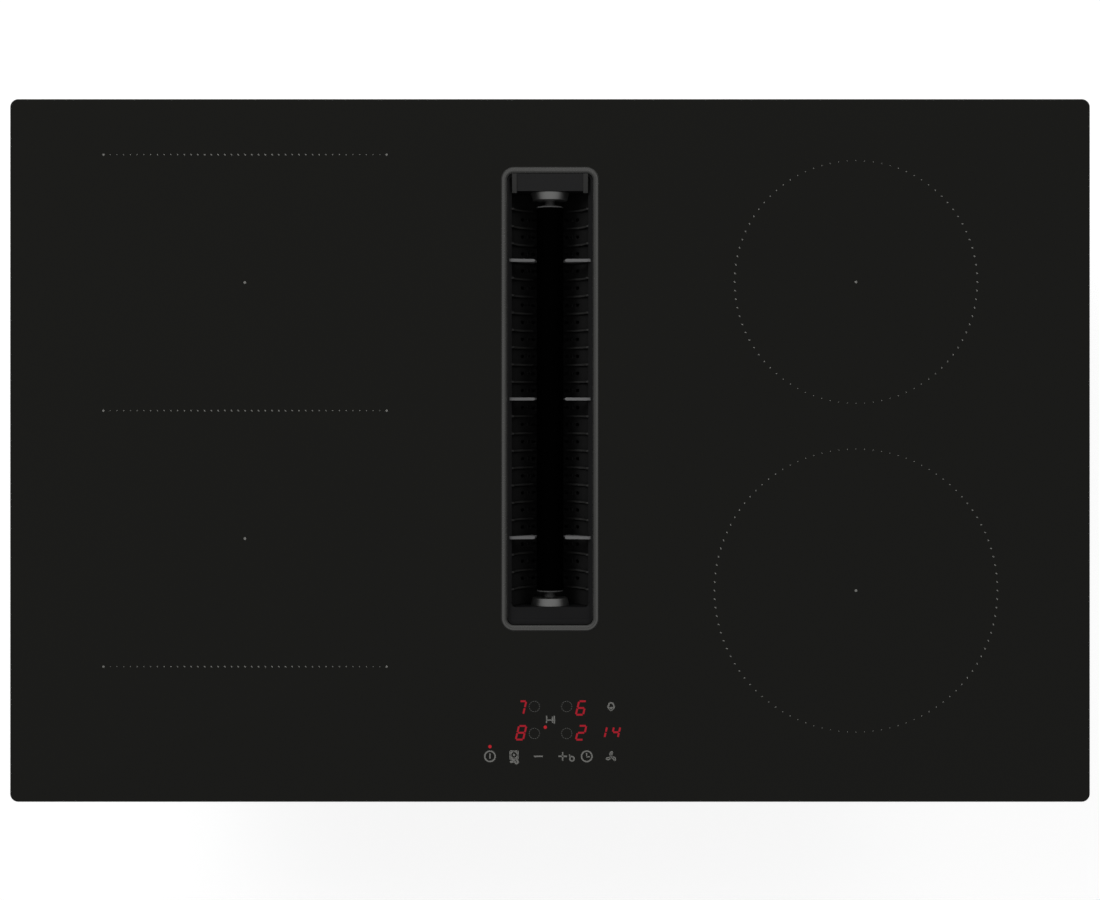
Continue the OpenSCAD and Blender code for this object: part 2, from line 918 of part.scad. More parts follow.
module base_tray() {
    color([0.66, 0.68, 0.7]) difference() {
        union() {
            difference() {
                translate([0, 0, z_tray0]) slab(tray_w, tray_d, tray_h, tray_r);
                translate([0, 0, z_floor])
                    slab(tray_w - 2*sheet_t, tray_d - 2*sheet_t, tray_h, tray_r - sheet_t);
            }
            tray_beads(sheet_t/2, bead_w + 2*sheet_t, bead_h + sheet_t/2);
        }
        translate([0, inlet_y, z_tray0 - cut])
            slab(well_w + 2*foot_margin, well_l + 2*foot_margin, sheet_t + 2*cut, well_r);
        tray_beads(-cut, bead_w, bead_h + cut);
        for (side = [-1, 1]) {
            translate([side*blower_x, blower_y, z_tray0 - cut])
                linear_extrude(sheet_t + 2*cut) grille_plan();
            for (i = [0:louvre_count - 1])
                translate([side*louvre_x + (i - (louvre_count - 1)/2)*louvre_pitch,
                           tray_d/2 + cut, z_tray0 + louvre_z])
                    rotate([quarter, 0, 0]) linear_extrude(tray_d + 2*cut)
                        rotate(quarter) slot(louvre_h, louvre_w);
        }
        translate([box_x, box_y, z_tray0 - cut]) cylinder(r = wire_hole_r, h = sheet_t + 2*cut);
        at_tray_screws() screw_hole();
        at_spring_screws() screw_hole();
    }
}

module tray_screws() {
    color([0.7, 0.7, 0.7]) at_tray_screws() screw();
}

module worktop_spring() {
    bow_x = spring_t + spring_bulge - bow_r;
    translate([0, spring_l/2, 0]) rotate([quarter, 0, 0]) linear_extrude(spring_l) {
        translate([0, -spring_leg/2]) square([spring_t, spring_leg]);
        intersection() {
            translate([bow_x, -spring_leg/2 - spring_span/2]) difference() {
                circle(bow_r);
                circle(bow_r - spring_t);
            }
            translate([0, -spring_leg/2 - spring_span]) square([2*spring_bulge, spring_span]);
        }
    }
}

module worktop_springs() {
    color([0.55, 0.56, 0.58]) for (side = [0, 1], y = [-1, 1]) rotate([0, 0, side*half_turn])
        translate([case_w/2, y*spring_y, z_frame0 - skirt_h/2]) difference() {
            worktop_spring();
            rotate([0, quarter, 0]) screw_hole();
        }
}

module spring_screws() {
    color([0.7, 0.7, 0.7]) at_spring_screws() translate([0, 0, -spring_t]) screw();
}

// Bent plate that carries the coils of one side, with a leg along each long edge
module coil_carrier(side) {
    carrier_out = tray_w/2 - sheet_t - carrier_side;
    width = carrier_out - carrier_in;
    leg_h = z_carrier0 + carrier_t - z_floor;
    color([0.78, 0.79, 0.8]) difference() {
        scale([side, 1, 1]) union() {
            translate([carrier_in, -carrier_l/2, z_carrier0]) cube([width, carrier_l, carrier_t]);
            translate([carrier_in, -carrier_l/2, z_floor]) cube([carrier_t, carrier_l, leg_h]);
            translate([carrier_out - carrier_t, -carrier_l/2, z_floor])
                cube([carrier_t, carrier_l, leg_h]);
        }
        translate([control_x, control_y, z_floor - cut])
            slab(control_w + 2*control_margin, control_l + 2*control_margin, case_h,
                 control_margin);
    }
}

module coil_carrier_left() coil_carrier(-1);

module coil_carrier_right() coil_carrier(1);

// Turns side by side on a thin web
module round_coil(r) {
    color([0.72, 0.42, 0.2]) rotate_extrude() {
        translate([coil_hole_r, 0]) square([r - coil_hole_r, web_t]);
        for (x = [r - turn_w:-turn_pitch:coil_hole_r]) translate([x, 0])
            square([turn_w, winding_t]);
    }
}

module flex_coil() {
    depth = flex_corner_r - turn_pitch;
    color([0.72, 0.42, 0.2]) {
        rect_ring(flex_coil_w, flex_coil_d, web_t, flex_corner_r, depth);
        linear_extrude(winding_t) for (inset = [0:turn_pitch:depth - turn_w]) difference() {
            rounded_rect(flex_coil_w - 2*inset, flex_coil_d - 2*inset, flex_corner_r - inset);
            rounded_rect(flex_coil_w - 2*(inset + turn_w), flex_coil_d - 2*(inset + turn_w),
                         flex_corner_r - inset - turn_w);
        }
    }
}

module coil_front_left() translate([flex_x, flex_front_y, z_winding0]) flex_coil();

module coil_rear_left() translate([flex_x, flex_rear_y, z_winding0]) flex_coil();

module coil_front_right() translate([round_x, large_y, z_winding0]) round_coil(large_coil_r);

module coil_rear_right() translate([round_x, small_y, z_winding0]) round_coil(small_coil_r);

// Discs in the coils' outlines with a hole for the sensor
module coil_discs(t) {
    for (y = [flex_front_y, flex_rear_y]) translate([flex_x, y, 0]) difference() {
        slab(flex_coil_w, flex_coil_d, t, flex_corner_r);
        translate([0, 0, -cut]) cylinder(r = coil_hole_r, h = t + 2*cut);
    }
    translate([round_x, large_y, 0]) difference() {
        cylinder(r = large_coil_r, h = t);
        translate([0, 0, -cut]) cylinder(r = coil_hole_r, h = t + 2*cut);
    }
    translate([round_x, small_y, 0]) difference() {
        cylinder(r = small_coil_r, h = t);
        translate([0, 0, -cut]) cylinder(r = coil_hole_r, h = t + 2*cut);
    }
}

module coil_formers() {
    color([0.85, 0.84, 0.8]) translate([0, 0, z_former0]) coil_discs(former_t);
}

module coil_blankets() {
    color([0.93, 0.92, 0.88]) translate([0, 0, z_blanket0]) coil_discs(blanket_t);
}

module ferrite_star(reach, count) {
    for (i = [0:count - 1]) rotate([0, 0, (i + 1/2)*2*half_turn/count])
        translate([ferrite_start_r, -ferrite_w/2, 0])
            cube([reach - ferrite_start_r - ferrite_inset, ferrite_w, ferrite_t]);
}

module coil_ferrites() {
    color([0.25, 0.25, 0.27]) translate([0, 0, z_ferrite0]) {
        for (y = [flex_front_y, flex_rear_y]) translate([flex_x, y, 0])
            ferrite_star(flex_coil_d/2, flex_ferrites);
        translate([round_x, large_y, 0]) ferrite_star(large_coil_r, round_ferrites);
        translate([round_x, small_y, 0]) ferrite_star(small_coil_r, round_ferrites);
    }
}

module temperature_sensors() {
    color([0.9, 0.9, 0.88]) at_coils() {
        translate([0, 0, z_ferrite0]) cylinder(r = sensor_r, h = z_glass0 - z_ferrite0);
        translate([0, 0, z_ferrite0]) cylinder(r = sensor_flange_r, h = sensor_flange_t);
    }
}

module board_parts() {
    for (i = [0:3]) translate([-board_w/2 + 2*cap_can_r, -board_l/4 + i*3*cap_can_r, board_t])
        cylinder(r = cap_can_r, h = cap_can_h);
    for (i = [0:1]) translate([-board_w/4 + i*3*choke_r - choke_r, board_l/3, board_t])
        difference() {
            cylinder(r = choke_r, h = choke_h);
            translate([0, 0, board_t/2]) cylinder(r = choke_hole_r, h = choke_h);
        }
    for (i = [0:2]) translate([-board_w/4, -2*board_l/5 + i*2*relay_w, board_t])
        cube([relay_l, relay_w, relay_h]);
}

module power_board(side) {
    color([0.1, 0.32, 0.2]) translate([side*board_x, board_y, z_board]) scale([side, 1, 1]) {
        translate([-board_w/2, -board_l/2, 0]) cube([board_w, board_l, board_t]);
        board_parts();
    }
}

module power_board_left() power_board(-1);

module power_board_right() power_board(1);

module heat_sinks() {
    pitch = (sink_w - sink_fin_t)/(sink_fins - 1);
    color([0.75, 0.76, 0.78]) for (side = [-1, 1])
        translate([side*sink_x - sink_w/2, sink_y + sink_l/2, z_board + board_t])
            rotate([quarter, 0, 0]) linear_extrude(sink_l) {
                square([sink_w, sink_base]);
                for (i = [0:sink_fins - 1]) translate([i*pitch, 0]) square([sink_fin_t, sink_h]);
            }
}

module mains_filter_board() {
    color([0.1, 0.32, 0.2]) translate([mains_x, mains_y, z_board]) {
        translate([-mains_w/2, -mains_l/2, 0]) cube([mains_w, mains_l, board_t]);
        translate([0, mains_l/4, board_t]) difference() {
            cylinder(r = choke_r, h = choke_h);
            translate([0, 0, board_t/2]) cylinder(r = choke_hole_r, h = choke_h);
        }
        for (i = [0:2]) translate([-relay_l/2, -2*mains_l/5 + i*(relay_w + relay_gap), board_t])
            cube([relay_l, relay_w, relay_h]);
    }
}

module standoffs(w, l) {
    for (x = [-1, 1], y = [-1, 1])
        translate([x*(w/2 - standoff_inset), y*(l/2 - standoff_inset), z_floor])
            cylinder(r = standoff_r, h = standoff_h);
}

module board_standoffs() {
    color([0.9, 0.9, 0.85]) {
        for (side = [-1, 1]) translate([side*board_x, board_y, 0]) standoffs(board_w, board_l);
        translate([mains_x, mains_y, 0]) standoffs(mains_w, mains_l);
    }
}

module blower_plan(grow, extra) {
    volute(wheel_r + wheel_gap, wheel_step, blower_out_w, blower_out_y + extra, grow);
}

module blower_housing(side) {
    color([0.12, 0.12, 0.13]) translate([side*blower_x, blower_y, z_floor]) difference() {
        linear_extrude(blower_h) blower_plan(blower_wall, 0);
        translate([0, 0, blower_wall]) linear_extrude(blower_h - 2*blower_wall)
            blower_plan(0, cut);
        translate([0, 0, -cut]) cylinder(r = blower_inlet_r, h = blower_wall + 2*cut);
    }
    color([0.12, 0.12, 0.13]) translate([side*blower_x, blower_y, z_floor + blower_wall])
        cylinder(r = wheel_pin_r, h = blower_h - 2*blower_wall);
}

module blower_housing_left() blower_housing(-1);

module blower_housing_right() blower_housing(1);

module blower_wheel(side) {
    color([0.2, 0.2, 0.22])
        translate([side*blower_x, blower_y, z_floor + blower_wall + wheel_lift]) difference() {
            union() {
                blade_ring(wheel_r, wheel_inner_r, wheel_curve_r, wheel_blade_t, wheel_blades,
                           wheel_h);
                translate([0, 0, wheel_h - wheel_plate]) cylinder(r = wheel_r, h = wheel_plate);
                difference() {
                    cylinder(r = wheel_r, h = wheel_plate);
                    translate([0, 0, -cut]) cylinder(r = wheel_inner_r, h = wheel_h);
                }
                cylinder(r = wheel_hub_r, h = wheel_h);
            }
            translate([0, 0, -cut]) cylinder(r = wheel_bore_r, h = wheel_h + 2*cut);
        }
}

module blower_wheel_left() blower_wheel(-1);

module blower_wheel_right() blower_wheel(1);

module control_housing() {
    z_foot = z_board0 - control_rest - control_wall;
    color([0.1, 0.1, 0.11]) translate([control_x, control_y, 0]) {
        translate([0, 0, z_foot]) rect_ring(control_w, control_l, z_glass0 - z_foot,
                                            control_margin, control_wall);
        translate([0, 0, z_foot]) slab(control_w, control_l, control_wall, control_margin);
        for (x = [-1, 1], y = [-1, 1])
            translate([x*(control_w/2 - 2*control_margin), y*(control_l/2 - 2*control_margin),
                       z_foot]) cylinder(r = control_margin, h = z_board0 - z_foot);
    }
}

module control_board() {
    color([0.1, 0.32, 0.2]) translate([control_x, control_y, z_board0])
        slab(control_w - 2*control_wall - 2*play, control_l - 2*control_wall - 2*play,
             control_board_t, control_margin/2);
}

module display_modules() {
    color([0.2, 0.05, 0.05]) for (i = [0:display_count - 1])
        translate([control_x + (i - (display_count - 1)/2)*display_pitch - display_w/2,
                   control_y, z_board1]) cube([display_w, display_l, key_h]);
}

module touch_springs() {
    color([0.75, 0.75, 0.7]) for (i = [0:key_count - 1])
        translate([control_x + (i - (key_count - 1)/2)*key_pitch, control_y - control_l/3, z_board1])
            difference() {
                cylinder(r = key_r, h = key_h);
                translate([0, 0, -cut]) cylinder(r = key_bore_r, h = key_h + 2*cut);
            }
}

// Places of the screws of the terminal box's cover, at the cover's inner face
module at_cover_screws() {
    for (x = [-1, 1], y = [-1, 1])
        translate([box_x + x*(box_w/2 - post_inset), box_y + y*(box_l/2 - post_inset),
                   z_tray0 - box_h]) children();
}

module terminal_box() {
    z_box = z_tray0 - box_h;
    color([0.14, 0.14, 0.15]) translate([box_x, box_y, z_box]) difference() {
        slab(box_w, box_l, box_h, box_r);
        translate([0, 0, -cut])
            slab(box_w - 2*box_t, box_l - 2*box_t, box_h - box_t + cut, box_r - box_t);
        translate([0, 0, box_h/2]) cylinder(r = wire_hole_r, h = box_h);
        translate([box_w/2 + cut, 0, box_h/2]) rotate([0, -quarter, 0])
            cylinder(r = gland_r, h = box_t + 2*cut);
    }
    color([0.14, 0.14, 0.15]) at_cover_screws() difference() {
        cylinder(r = post_r, h = box_h - box_t/2);
        screw_hole();
    }
}

module terminal_block() {
    z_roof = z_tray0 - box_t;
    color([0.88, 0.87, 0.82]) translate([box_x - box_w/2 + box_t, box_y + block_l/2,
                                         z_roof - block_h]) difference() {
        cube([block_w, block_l/2, block_h]);
        for (i = [0:block_poles - 1])
            translate([(i + 1/2)*block_w/block_poles, block_l/4, -cut])
                cylinder(r = pole_r, h = pole_depth);
    }
}

module terminal_cover() {
    color([0.14, 0.14, 0.15]) difference() {
        translate([box_x, box_y, z_tray0 - box_h - cover_t]) slab(box_w, box_l, cover_t, box_r);
        at_cover_screws() screw_hole();
    }
}

module cable_gland() {
    color([0.18, 0.18, 0.19]) translate([box_x + box_w/2, box_y, z_tray0 - box_h/2])
        rotate([0, -quarter, 0]) difference() {
            union() {
                translate([0, 0, -gland_l]) cylinder(r = gland_r, h = gland_l + box_t);
                translate([0, 0, -gland_nut_t]) cylinder(r = gland_nut_r, h = gland_nut_t, $fn = 6);
            }
            translate([0, 0, -gland_l - cut]) cylinder(r = gland_bore_r, h = gland_l + box_t + 2*cut);
        }
}

// Plans of the ventilation housing
module fan_plan(grow, extra) {
    translate([fan_x, fan_y])
        volute(volute_r, volute_step, channel_w, channel_y - fan_y + extra, grow);
}

module chamber_plan(grow) {
    translate([chamber_x, chamber_y])
        rounded_rect(chamber_w + 2*grow, chamber_l + 2*grow, chamber_r + grow);
}

module bay_plan(grow) {
    translate([bay_x, bay_y]) rounded_rect(tank_w + 2*(bay_gap + grow), tank_l + 2*(bay_gap + grow),
                                           bay_r + grow);
}

module chamber_screw_places() {
    for (s = chamber_screw_shares, side = [-1, 1])
        translate([chamber_x + side*(chamber_w + rim_out)/2, chamber_y + s*chamber_l, 0])
            children();
}

module upper_housing() {
    color([0.1, 0.1, 0.11]) difference() {
        union() {
            translate([0, 0, z_deck1]) linear_extrude(chamber_h) chamber_plan(0);
            translate([0, 0, z_deck1]) linear_extrude(deck_t) chamber_plan(rim_out);
        }
        translate([0, 0, z_deck1 - cut]) linear_extrude(chamber_h - shell_t + cut)
            chamber_plan(-shell_t);
        translate([0, inlet_y, z_deck1]) slab(well_w - 2*well_t, well_l - 2*well_t,
                                              2*chamber_h, well_r - well_t);
        chamber_screw_places() translate([0, 0, z_deck1]) screw_hole();
    }
}

module fan_deck() {
    color([0.12, 0.12, 0.13]) difference() {
        translate([0, 0, z_deck0]) linear_extrude(deck_t) {
            fan_plan(shell_t + rim_out, 0);
            bay_plan(shell_t + rim_out);
            chamber_plan(rim_out);
        }
        translate([fan_x, fan_y, z_deck0 - cut])
            cylinder(r = throat_r + bell_r, h = deck_t + 2*cut);
        translate([drain_x, bay_y, z_deck0 - cut]) slab(drain_w, drain_l, deck_t + 2*cut, bay_r);
        chamber_screw_places() translate([0, 0, z_deck1]) screw_hole();
    }
}

module lower_housing() {
    color([0.1, 0.1, 0.11]) difference() {
        union() {
            linear_extrude(z_deck0) fan_plan(shell_t, 0);
            linear_extrude(z_deck0) bay_plan(shell_t);
            translate([0, 0, z_deck0 - deck_t]) linear_extrude(deck_t) {
                fan_plan(shell_t + rim_out, 0);
                bay_plan(shell_t + rim_out);
            }
        }
        translate([0, 0, shell_t]) linear_extrude(z_deck0) fan_plan(0, cut);
        translate([0, 0, -cut]) linear_extrude(z_deck0 + 2*cut) bay_plan(0);
    }
}

module fan_nozzle() {
    bell_x = throat_r + bell_r;
    z_end = z_impeller1 - nozzle_overlap;
    color([0.16, 0.16, 0.17]) translate([fan_x, fan_y, 0]) rotate_extrude() {
        translate([bell_x, z_deck1]) square([nozzle_flange, nozzle_t]);
        translate([throat_r, z_end])
            square([nozzle_t, z_deck1 + nozzle_t - bell_r - z_end]);
        intersection() {
            translate([bell_x, z_deck1 + nozzle_t - bell_r]) difference() {
                circle(bell_r);
                circle(bell_r - nozzle_t);
            }
            translate([throat_r, z_deck1 + nozzle_t - bell_r]) square(bell_r);
        }
    }
}

module impeller() {
    color([0.22, 0.22, 0.24]) translate([fan_x, fan_y, 0]) difference() {
        union() {
            translate([0, 0, z_plate]) cylinder(r = impeller_r, h = plate_t);
            translate([0, 0, z_plate + plate_t])
                blade_ring(impeller_r, blade_inner_r, blade_curve_r, blade_t, impeller_blades,
                           blade_h);
            translate([0, 0, z_impeller1 - ring_t]) difference() {
                cylinder(r = impeller_r, h = ring_t);
                translate([0, 0, -cut]) cylinder(r = impeller_r - ring_band, h = ring_t + 2*cut);
            }
            for (i = [0:rib_count - 1]) rotate([0, 0, i*2*half_turn/rib_count])
                translate([cup_r - cut, -rib_t/2, z_plate])
                    cube([blade_inner_r - cup_r, rib_t, plate_t + rib_h]);
        }
        translate([0, 0, z_plate - cut]) cylinder(r = cup_r, h = blade_h);
    }
}

module motor_rotor() {
    color([0.6, 0.61, 0.63]) translate([fan_x, fan_y, 0]) {
        difference() {
            translate([0, 0, z_cup0]) cylinder(r = cup_r, h = cup_h);
            translate([0, 0, z_cup0 - cut]) cylinder(r = cup_r - cup_t, h = cup_h - cup_t + cut);
        }
        translate([0, 0, z_motor0 + shaft_foot])
            cylinder(r = shaft_r, h = z_cup0 + cup_h - z_motor0 - shaft_foot);
    }
}

module motor_base() {
    color([0.5, 0.51, 0.53]) translate([fan_x, fan_y, 0]) difference() {
        union() {
            translate([0, 0, z_motor0]) cylinder(r = motor_flange_r, h = motor_flange_t);
            translate([0, 0, z_motor0]) cylinder(r = bearing_r, h = z_bearing1 - z_motor0);
            translate([0, 0, z_stator]) difference() {
                cylinder(r = stator_r, h = stator_h);
                for (i = [0:stator_slots - 1]) rotate([0, 0, i*2*half_turn/stator_slots])
                    translate([stator_r/2, -stator_slot_w/2, -cut])
                        cube([stator_r, stator_slot_w, stator_h + 2*cut]);
            }
        }
        translate([0, 0, z_motor0 + shaft_foot/2])
            cylinder(r = shaft_r + running_fit, h = z_bearing1);
    }
}

module motor_dampers() {
    color([0.06, 0.06, 0.06]) for (i = [0:2]) translate([fan_x, fan_y, shell_t])
        rotate([0, 0, i*2*half_turn/3]) translate([damper_ring_r, 0, 0])
            cylinder(r = damper_r, h = z_motor0 - shell_t);
}

// Middle of the outlet channel across
outlet_x = fan_x - volute_step/2 - volute_r - 2*volute_step + channel_w/2;

module outlet_collar() {
    flange_full = channel_w + 2*(shell_t + rim_out);
    color([0.13, 0.13, 0.14]) translate([outlet_x, channel_y, z_duct])
        rotate([-quarter, 0, 0]) difference() {
            union() {
                slab(flange_full, duct_flange_h, collar_flange_t, collar_lip);
                slab(duct_w, duct_h, collar_flange_t + collar_l, collar_r);
            }
            translate([0, 0, -cut])
                slab(duct_w - 2*duct_wall, duct_h - 2*duct_wall,
                     collar_flange_t + collar_l + 2*cut, collar_r - duct_wall);
        }
}

module outlet_seal() {
    color([0.05, 0.05, 0.05])
        translate([outlet_x, channel_y + collar_flange_t + collar_l/2, z_duct])
            rotate([-quarter, 0, 0])
                rect_ring(duct_w + 2*lip_seal_t, duct_h + 2*lip_seal_t, lip_seal_w,
                          collar_r + lip_seal_t, lip_seal_t);
}

module overflow_tank() {
    color([0.75, 0.78, 0.8]) translate([bay_x, bay_y, 0]) {
        difference() {
            translate([0, 0, z_tank0]) slab(tank_w, tank_l, z_tank1 - z_tank0, tank_r);
            translate([0, 0, z_tank0 + tank_t])
                slab(tank_w - 2*tank_t, tank_l - 2*tank_t, z_tank1, tank_r - tank_t);
        }
        translate([-handle_w/2, -handle_l/2, handle_foot]) difference() {
            cube([handle_w, handle_l, z_tank0 - handle_foot]);
            translate([-cut, handle_t, handle_t/2])
                cube([handle_w + 2*cut, handle_l - 2*handle_t, z_tank0 - handle_foot]);
        }
    }
}

module tank_seal() {
    color([0.07, 0.07, 0.07]) translate([bay_x, bay_y, z_deck0 - tank_seal_t])
        rect_ring(tank_w, tank_l, tank_seal_t, tank_r, tank_seal_w);
}

module housing_screws() {
    color([0.7, 0.7, 0.7]) chamber_screw_places() translate([0, 0, z_deck1 + deck_t])
        rotate([half_turn, 0, 0]) screw();
    color([0.7, 0.7, 0.7]) at_cover_screws() translate([0, 0, -cover_t]) screw();
}

glass_panel();
glass_seal();
support_frame();
inlet_frame();
inlet_frame_seal();
filter_basket();
cross_bars();
grip_tube();
grip_end_caps();
grip_axle();
end_bosses();
grease_filter_left();
grease_filter_right();
condensate_tray();
inlet_well();
well_gasket();
base_tray();
tray_screws();
worktop_springs();
spring_screws();
coil_carrier_left();
coil_carrier_right();
coil_front_left();
coil_rear_left();
coil_front_right();
coil_rear_right();
coil_formers();
coil_ferrites();
coil_blankets();
temperature_sensors();
power_board_left();
power_board_right();
heat_sinks();
mains_filter_board();
board_standoffs();
blower_housing_left();
blower_housing_right();
blower_wheel_left();
blower_wheel_right();
control_housing();
control_board();
display_modules();
touch_springs();
terminal_box();
terminal_block();
terminal_cover();
cable_gland();
upper_housing();
fan_deck();
lower_housing();
fan_nozzle();
impeller();
motor_rotor();
motor_base();
motor_dampers();
outlet_collar();
outlet_seal();
overflow_tank();
tank_seal();
housing_screws();
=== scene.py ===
"""Downdraft induction cooktop: finishes, printed marks, fine pieces, light and camera.

Shapes are worked out with numpy in millimetres and written to the meshes in metres.
"""
import json
import logging
import math
from dataclasses import dataclass, field
from enum import Enum
from typing import ClassVar, Sequence

import bmesh
import bpy
import numpy as np
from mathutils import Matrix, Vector

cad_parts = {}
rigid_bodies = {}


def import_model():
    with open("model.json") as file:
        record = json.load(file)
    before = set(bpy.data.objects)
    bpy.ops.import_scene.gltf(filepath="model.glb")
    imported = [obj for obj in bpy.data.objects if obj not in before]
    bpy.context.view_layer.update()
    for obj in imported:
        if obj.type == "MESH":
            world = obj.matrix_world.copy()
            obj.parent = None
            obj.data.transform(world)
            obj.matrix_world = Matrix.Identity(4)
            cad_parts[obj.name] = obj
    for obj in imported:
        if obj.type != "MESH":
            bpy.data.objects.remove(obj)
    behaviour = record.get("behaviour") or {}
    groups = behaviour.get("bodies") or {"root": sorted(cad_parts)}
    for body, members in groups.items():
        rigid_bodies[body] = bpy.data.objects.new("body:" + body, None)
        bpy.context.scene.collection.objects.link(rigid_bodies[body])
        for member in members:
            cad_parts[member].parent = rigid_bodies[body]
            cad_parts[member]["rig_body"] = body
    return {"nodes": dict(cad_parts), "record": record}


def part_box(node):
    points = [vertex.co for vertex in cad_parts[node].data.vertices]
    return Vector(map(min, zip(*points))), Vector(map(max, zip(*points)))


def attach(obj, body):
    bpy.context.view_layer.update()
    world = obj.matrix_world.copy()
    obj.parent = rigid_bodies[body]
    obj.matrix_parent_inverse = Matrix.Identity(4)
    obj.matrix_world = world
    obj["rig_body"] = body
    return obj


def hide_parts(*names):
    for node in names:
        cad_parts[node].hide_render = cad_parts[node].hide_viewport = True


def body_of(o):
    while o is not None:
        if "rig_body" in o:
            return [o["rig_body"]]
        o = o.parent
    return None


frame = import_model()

MM = 0.001
TAU = 2 * math.pi
WELD = 2e-7  # metres within which the points of a new mesh are merged
CAD_WELD = 1e-6  # metres within which the points of a CAD mesh are merged
FLAT = math.radians(0.6)  # turn up to which two triangles of a CAD mesh are one face
Array = np.ndarray
Point = tuple[float, float]
Colour = tuple[float, float, float]
Socket = bpy.types.NodeSocket
Look = tuple[Socket, Socket, Socket]
Owner = bpy.types.Material | bpy.types.World

log = logging.getLogger("cooktop")


def box_mm(node: str) -> tuple[Array, Array]:
    """Lowest and highest corner of a CAD node in millimetres."""
    low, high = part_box(node)
    return np.array(low) / MM, np.array(high) / MM


# ---------------------------------------------------------------- surfaces


def rounded_rect(width: float, depth: float, radius: float, steps: int = 8) -> Array:
    """Outline of a rounded rectangle about the origin, counter-clockwise.

    Each point is a corner's centre plus the radius times (cos, sin) of an angle that runs
    over that corner's quarter turn.

    Args:
        width: size along X.
        depth: size along Y.
        radius: corner radius.
        steps: parts of each corner's arc.

    Returns:
        Points as an array of (4 * (steps + 1), 2).
    """
    angle = np.linspace(0, math.pi / 2, steps + 1)[None, :] + (math.pi / 2 * np.arange(4))[:, None]
    side = np.array([[1, 1], [-1, 1], [-1, -1], [1, -1]], float)
    centre = side * [width / 2 - radius, depth / 2 - radius]
    points = centre[:, None, :] + radius * np.stack([np.cos(angle), np.sin(angle)], -1)
    return points.reshape(-1, 2)


def outlines(profile: Sequence[Point] | Array, width: float, depth: float, radius: float,
             centre: Sequence[float] = (0.0, 0.0), steps: int = 12) -> Array:
    """A profile carried round a rounded rectangle.

    A profile point (inset, z) becomes the outline of the rectangle drawn in by the inset on
    all sides, at the height z.

    Args:
        profile: (n, 2) points of inset and height.
        width: outer size along X.
        depth: outer size along Y.
        radius: outer corner radius.
        centre: place of the rectangle's middle.
        steps: parts of each corner's arc.

    Returns:
        Points as an array of (n, 4 * (steps + 1), 3).
    """
    loops = [np.insert(rounded_rect(width - 2 * inset, depth - 2 * inset, radius - inset, steps)
                       + centre, 2, z, axis=1) for inset, z in profile]
    return np.array(loops)


def smooth_path(points: Sequence[Sequence[float]], steps: int = 6) -> Array:
    """Catmull-Rom curve through open points: each span is the cubic that leaves and meets
    its ends with half the difference of the neighbours as slope.

    Args:
        points: places that the curve goes through.
        steps: parts of each span.

    Returns:
        Points along the curve, both ends included.
    """
    p = np.asarray(points, float)
    p = np.vstack([2 * p[0] - p[1], p, 2 * p[-1] - p[-2]])
    t = np.linspace(0, 1, steps, endpoint=False)[None, :, None]
    a, b, c, d = (p[i:len(p) - 3 + i, None, :] for i in range(4))
    curve = 0.5 * (2 * b + (c - a) * t + (2 * a - 5 * b + 4 * c - d) * t**2
                   + (3 * b - a - 3 * c + d) * t**3)
    return np.vstack([curve.reshape(-1, p.shape[1]), p[-2]])


